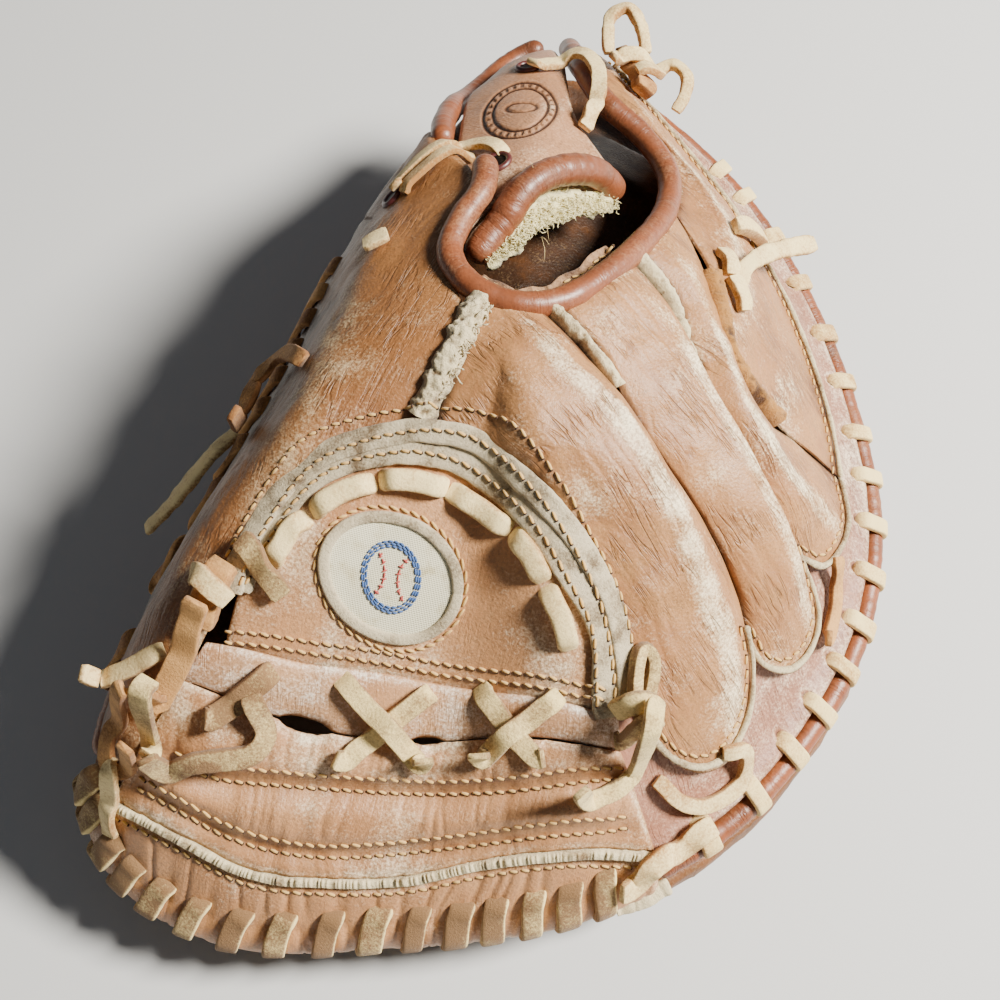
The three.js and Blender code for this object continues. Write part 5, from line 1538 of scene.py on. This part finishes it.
# name, node, rows of x, y and lift, width, thickness, dips of the ends, finish, how soiled
TIED_LACES = (
    ("end_lace", "web_end_lace", [(-48, -72), (-55, -79), (-63, -87)], 6.6, 2.4, 1.8, web_lace_finish, 0.8),
    ("end_loop", "web_end_loop", [(-52, -80), (-48.5, -86), (-51, -91), (-60, -94), (-67, -96), (-76, -99)],
     6.0, 2.2, 1.8, web_lace_finish, 0.6),
    ("index_knot_lace", "index_knot", [(45, -65), (43.8, -58), (44.2, -52), (46.3, -50.3), (48.6, -52),
     (48.6, -59), (47.6, -66)], 3.3, 3.2, 0.6, web_lace_finish, 0.5),
    ("index_knot_wrap", None, [(40.5, -67), (46, -64.5, 1.6), (52, -65)],
     6.0, 2.6, 0.8, web_lace_finish, 0.25),
    ("index_knot_turn", None, [(41.5, -73), (46.5, -70.5, 1.2), (51.5, -70)],
     5.4, 2.6, 0.8, web_lace_finish, 0.35),
    ("index_spare_end", "index_tail", [(50, -66), (49.5, -74), (45, -82), (35, -89.5)],
     5.0, 2.2, (0.5, 0.0), web_lace_finish, 0.15),
    ("index_end_lace", "index_end_loop", [(54.8, -77), (61, -79.5), (68, -79), (75, -75), (79.5, -69),
     (78, -64), (72, -67)], 4.4, 2.4, 0.8, lace_finish, 0.3),
    ("corner_strip_lace", None, [(50, -105.5), (56, -99), (64, -91), (73, -83.5)],
     6.6, 2.2, (0.4, 0.8), lace_finish, 0.3),
    ("flange_strip_lace", "flange_lace", [(100, -3), (101.5, -14), (100, -27)],
     4.6, 2.0, 0.8, tan_and_shaded_lace_finish, 0.1),
    ("little_weave_upper", None, [(54, 69), (56, 65), (57.5, 61)], 5.0, 2.6, 1.2, lace_finish, 0.15),
    ("little_weave_lower", None, [(58, 60), (60, 55.5), (62.5, 51)], 5.4, 2.6, 1.2, lace_finish, 0.15),
    ("little_knot", None, [(57, 82), (62, 86.5), (70, 93)], 5.0, 3.6, 0.6, lace_finish, 0.2),
    ("heel_knot_lace", "heel_knot", [(16, 146), (20, 140), (23, 133), (24, 127)],
     8.0, 4.6, 0.8, tan_and_shaded_lace_finish, 0.2),
    ("heel_knot_turn", None, [(14, 140), (19, 144), (26, 142), (28, 136), (22, 133)],
     4.6, 2.6, 1.0, lace_finish, 0.25),
    ("strap_lace_outer", "strap_lace_left", [(-11, 78), (-18, 82.5), (-27, 81), (-35, 74), (-41, 65)],
     4.2, 2.0, 2.2, lace_finish, 0.25),
    ("strap_lace_inner", None, [(-20, 78), (-26, 76), (-33, 69), (-38, 63)],
     4.0, 1.8, (1.4, 1.8), lace_finish, 0.45),
    ("strap_lace_heel", "strap_lace_right", [(-10, 127), (-4, 131), (3, 135), (9, 128), (12, 115), (9, 99)],
     4.8, 2.0, (1.8, 0.0), lace_finish, 0.15),
    # The thumb-side laces below take the tan lace, painted darker as the shade on that side.
    ("thumb_base_loop", "thumb_loop", [(-53, 4), (-61, 12, 1), (-67, 9, 2), (-69.5, -2, 2), (-70, -10, 0)],
     5.0, 2.0, 1.0, tan_and_shaded_lace_finish, 0.4),
    ("thumb_tab", "thumb_knot_tab", [(-59, -45, 0.6), (-53, -50, 0.6), (-47, -56, 0.2)],
     6.2, 2.2, 0.0, web_lace_finish, 0.6),
    ("thumb_knot_turn", "thumb_knot", [(-62, -51), (-65, -58), (-67, -66)],
     8.0, 4.4, 1.0, tan_and_shaded_lace_finish, 0.1),
    ("thumb_knot_wrap", None, [(-70, -55), (-65, -57, 3.2), (-60, -61)], 5.6, 2.4, 0.6, lace_finish, 0.3),
    ("thumb_pull", "thumb_strap", [(-66, -64), (-71, -74), (-78, -86)],
     6.8, 2.0, (0.4, 0.6), tan_and_shaded_lace_finish, 0.0),
    ("thumb_web_lace", None, [(-75, -83), (-77, -90), (-76, -97)],
     6.0, 2.0, (1.0, 1.2), web_lace_finish, 0.2),
    ("thumb_end_loop", "thumb_lace_loop", [(-81, -86), (-89, -91), (-89, -98), (-80, -98)],
     5.0, 2.0, 1.0, tan_and_shaded_lace_finish, 0.25),
    ("thumb_side_end", "thumb_side_tail", [(-76, -72), (-84, -76), (-94, -80, 2)],
     5.0, 2.0, (1.0, 0.0), lace_finish, 0.2),
    ("thumb_corner_lace", None, [(-87, -98), (-89, -105), (-90, -113)], 5.4, 2.0, 1.0, lace_finish, 0.2),
    ("wrist_square_end", "wrist_lace_end", [(-37.5, 44), (-40.5, 42.5), (-43.5, 41)],
     5.6, 2.0, 0.0, lace_finish, 0.1),
)
for number, (name, node, rows, width, thick, dips, finish, soiled) in enumerate(TIED_LACES):
    made = laid_lace(name, rows, width, thick, soiled, 321 + number, finish, dips=dips, crease=0.03)
    if node:
        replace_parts(made, node)

# The lace's stiff spare ends stand clear of the leather: a hook and a curl at the heel, dried into shape,
# a long pale end beside the thumb and a broad one beside the little finger.
# name, node, rows of x, y and z, width, thickness, the way its face looks, how soiled
STIFF_ENDS = (
    ("heel_hook_end", "heel_hook", [(12, 150, 79), (11, 155, 81), (11, 161, 84), (16, 164.5, 85),
                                    (21, 159, 83.5), (24, 151, 80)], 3.8, 3.4, (0, 0.3, 1), 0.2),
    ("heel_curl_end", "heel_curl", [(28, 146, 77), (33, 148.5, 79), (38, 144, 79), (38, 137, 77),
                                    (36, 133, 75)], 3.8, 3.0, (0.2, 0, 1), 0.2),
    ("thumb_long_end", "thumb_tail", [(-74, -5, 78), (-79, -11, 76.5), (-86, -19, 70), (-92, -25, 63.5),
                                      (-98, -30, 58)], 5.6, 1.9, (-0.6, 0, 0.8), 0.0),
    ("little_spare_end", "little_tail", [(60, 58, 84), (61, 65, 87), (65, 71, 86.5), (73, 78.5, 82.5),
                                         (82.5, 86.5, 76.5)], 5.6, 2.6, (0.1, -0.35, 1), 0.0),
)
for number, (name, node, rows, width, thick, way, soiled) in enumerate(STIFF_ENDS):
    made = laid_lace(name, rows, width, thick, soiled, 361 + number, crease=0.09, free=way, square=0.5)
    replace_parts(made, node)

# The panels are sewn with gold waxed thread, about two and a half millimetres a stitch, in single and double
# rows. Each stitch ends in a prick in the leather, painted dark as the shadow in it, and the finger tips have
# raw edges of pale hide.
STITCH_LONG = 2.6
STITCH_THICK = 0.95
thread_finish = hide("gold_thread", (216, 176, 108), (150, 104, 54), fibre=2600, bump=0.0001, soiled=0.3,
                     sheen=0.2)


def beside(rows, away):
    """A plan line moved square to itself, to the left where away is more than 0."""
    run = line([row[:2] for row in rows])(np.linspace(0, 1, 60))
    return line(run + away * left_of(unit(np.gradient(run, axis=0))))


def stitch_runs(seam, skew=0.25, pitch=3.1, long=STITCH_LONG, over=0.1):
    """Start and end of each stitch along a plan line, on what is laid there."""
    fine = seam(np.linspace(0, 1, 200))
    total = paces(fine).sum()
    count = max(2, int(total / pitch))
    middles = (np.arange(count) + 0.5) / count
    half = long / 2 / total
    start, end = seam(middles - half), seam(middles + half)
    square = left_of(unit(end - start)) * skew
    start, end = start + square, end - square
    start_tops, _ = standing(start[:, 0], start[:, 1], 0.25, leather_laid)
    end_tops, _ = standing(end[:, 0], end[:, 1], 0.25, leather_laid)
    return [(np.array((*a, top + over)), np.array((*b, tip + over)))
            for a, top, b, tip in zip(start, start_tops, end, end_tops)]


for number, (name, rows) in enumerate((("index_raw_edge", INDEX_TIP), ("middle_raw_edge", MIDDLE_TIP),
                                       ("ring_raw_edge", RING_TIP), ("little_raw_edge", FINGER_EDGE))):
    run = line(rows)(np.linspace(0, 1, 160))
    tops, ways = standing(run[:, 0], run[:, 1], 0.8, leather_laid)
    path = np.column_stack([run, eased(tops, 9)]) + unit(eased(ways, 9)) * 0.2
    points, flat, angle = tube(path, unit(eased(ways, 9)), 1.9, 1.5, sides=12, squareness=0.8, pitch=0.5,
                               crease=0.12, round_ends=True, seed=401 + number)
    mesh = grid_mesh(name, points, flat, closed=True, marks={"grime_and_shade": 0.15 + 0.2 * np.abs(np.cos(angle))})
    carries(shown(name, mesh, suede_finish))

single_rows = [beside(rows, away) for rows, away in (
    (INDEX_TIP, 2.2), (MIDDLE_TIP, 2.2), (RING_TIP, 2.2), (FINGER_EDGE, 2.4),
    (BAND_OUTER, -2.0), (BAND_INNER, -2.2), (BAND_OUTER, 4.2), (WEB_FRINGE, -3.6),
)]
double_rows = [beside(rows, side * SEAM_APART / 2) for rows in (UPPER_SEAM, LOWER_SEAM, [
    (-62, -66.5), (-42, -65), (-16, -63), (12, -63), (38, -64)]) for side in (1, -1)]
lip_row = line([row[:2] for row in lip_rows])
runs = [pair for seam in single_rows + double_rows + [lip_row] for pair in stitch_runs(seam)]
threads_piece("gold_stitches", runs, STITCH_THICK, thread_finish)
# Dark capsules at each stitch's end: painted shadow in the stitch holes.
prick_shadow_finish = hide("stitch_hole_shadows", (70, 46, 32), (40, 26, 18), fibre=2600, bump=0.0001)
prick_shadows = [(end - (0.0, 0.0, 0.12), end + (start - end) * 0.22 - (0.0, 0.0, 0.12)) for start, end in runs]
threads_piece("stitch_prick_shadows", prick_shadows, STITCH_THICK * 1.15, prick_shadow_finish)

# A few loose hairs of the fleece cling to the lining inside the opening, thin and pale, caught by one end
# and bent.
HAIRS = 8
HAIR_SPREAD = 7
hairs = []
for _ in range(HAIRS):
    x, y = pick.uniform(-2, 20), pick.uniform(42, 66)
    foot = np.array((x, y, standing(x, y, 0.2)[0][0] + 0.4))
    hairs.append((foot, foot + (*(pick.normal(size=2) * HAIR_SPREAD), pick.uniform(0.2, 2.5))))
threads_piece("loose_hairs", hairs, 0.1, lace_finish, bend=0.2)

# The patch is sewn down round its ring with the same gold thread. Its ball is embroidered in faded thread:
# three blue rings side by side, and two red curved seams with short cross stitches.
oval_seam = line([oval(1.0, degrees, 2.3) for degrees in np.linspace(0, 360, 49)])
threads_piece("patch_stitches", stitch_runs(oval_seam, skew=0.35, pitch=2.7), STITCH_THICK, thread_finish)


def ball_line(radius, start, stop, shift=0.0):
    """An arc about the patch's middle, or about a point shifted along it."""
    return line([(PATCH_MIDDLE[0] + shift + radius * math.cos(a), PATCH_MIDDLE[1] + radius * math.sin(a))
                 for a in np.radians(np.linspace(start, stop, 25))])


blue_finish = hide("blue_thread", (74, 104, 158), (52, 76, 122), fibre=2600, bump=0.0001, soiled=0.3)
red_finish = hide("red_thread", (190, 84, 76), (140, 58, 54), fibre=2600, bump=0.0001, soiled=0.3)
ball_rings = [ball_line(BALL_RADIUS + grow, 0, 360) for grow in (0.0, 0.55, 1.1)]
ring_threads = [pair for ring in ball_rings for pair in stitch_runs(ring, 0.1, 1.5, 1.5, 0.05)]
threads_piece("patch_ball", ring_threads, 0.7, blue_finish)
ball_seams = [ball_line(BALL_RADIUS * 0.92, 130, 230, 7.6), ball_line(BALL_RADIUS * 0.92, 50, -50, -7.6)]
seam_threads = [pair for seam in ball_seams for pair in stitch_runs(seam, 0.0, 1.3, 1.3, 0.05)]
seam_threads += [pair for seam in ball_seams for pair in stitch_runs(seam, 0.75, 1.5, 0.5, 0.1)]
threads_piece("patch_ball_seams", seam_threads, 0.55, red_finish)

# Brass eyelets gone dark maroon line five lace holes in the strap, the thumb and the web's corner. Each is
# a rolled ring pressed into the leather round a dark disc, the painted shadow in its hole.
# x, y, radius
EYELETS = ((-12.5, 74, 3.5), (-41.5, 64.5, 3.0), (-12, 130, 3.0), (4.5, 141, 2.0), (-71, -67, 1.8))
EYELET_ROUND = 0.9
eyelet_finish = leather("eyelet_metal", (92, 36, 32), (70, 28, 28), (150, 90, 70), (26, 14, 14), rubbed=0.6,
                        wrinkle=0.0, grain=0.2, gloss=0.7, coat=0.3)
rings, holes = bmesh.new(), bmesh.new()
for x, y, radius in EYELETS:
    seat = seat_on(x, y, 0.2)
    upright = Matrix.Translation((radius * MM, 0, 0)) @ Matrix.Rotation(math.pi / 2, 4, "X")
    made = bmesh.ops.create_circle(rings, segments=10, radius=EYELET_ROUND * MM, matrix=upright)
    edges = {edge for vert in made["verts"] for edge in vert.link_edges}
    bmesh.ops.spin(rings, geom=made["verts"] + list(edges), cent=(0, 0, 0), axis=(0, 0, 1), angle=TURN,
                   steps=28, use_merge=True)
    fresh = [vert for vert in rings.verts if not vert.tag]
    bmesh.ops.transform(rings, matrix=seat, verts=fresh)
    for vert in fresh:
        vert.tag = True
    bmesh.ops.create_circle(holes, cap_ends=True, segments=24, radius=radius * MM,
                            matrix=seat @ Matrix.Translation((0, 0, 0.3 * MM)))
bmesh.ops.recalc_face_normals(rings, faces=rings.faces)
for name, shape, finish in (("eyelet_rings", rings, eyelet_finish), ("eyelet_holes", holes, hole_shadow_finish)):
    shown(name, mesh_of(name, shape), finish)
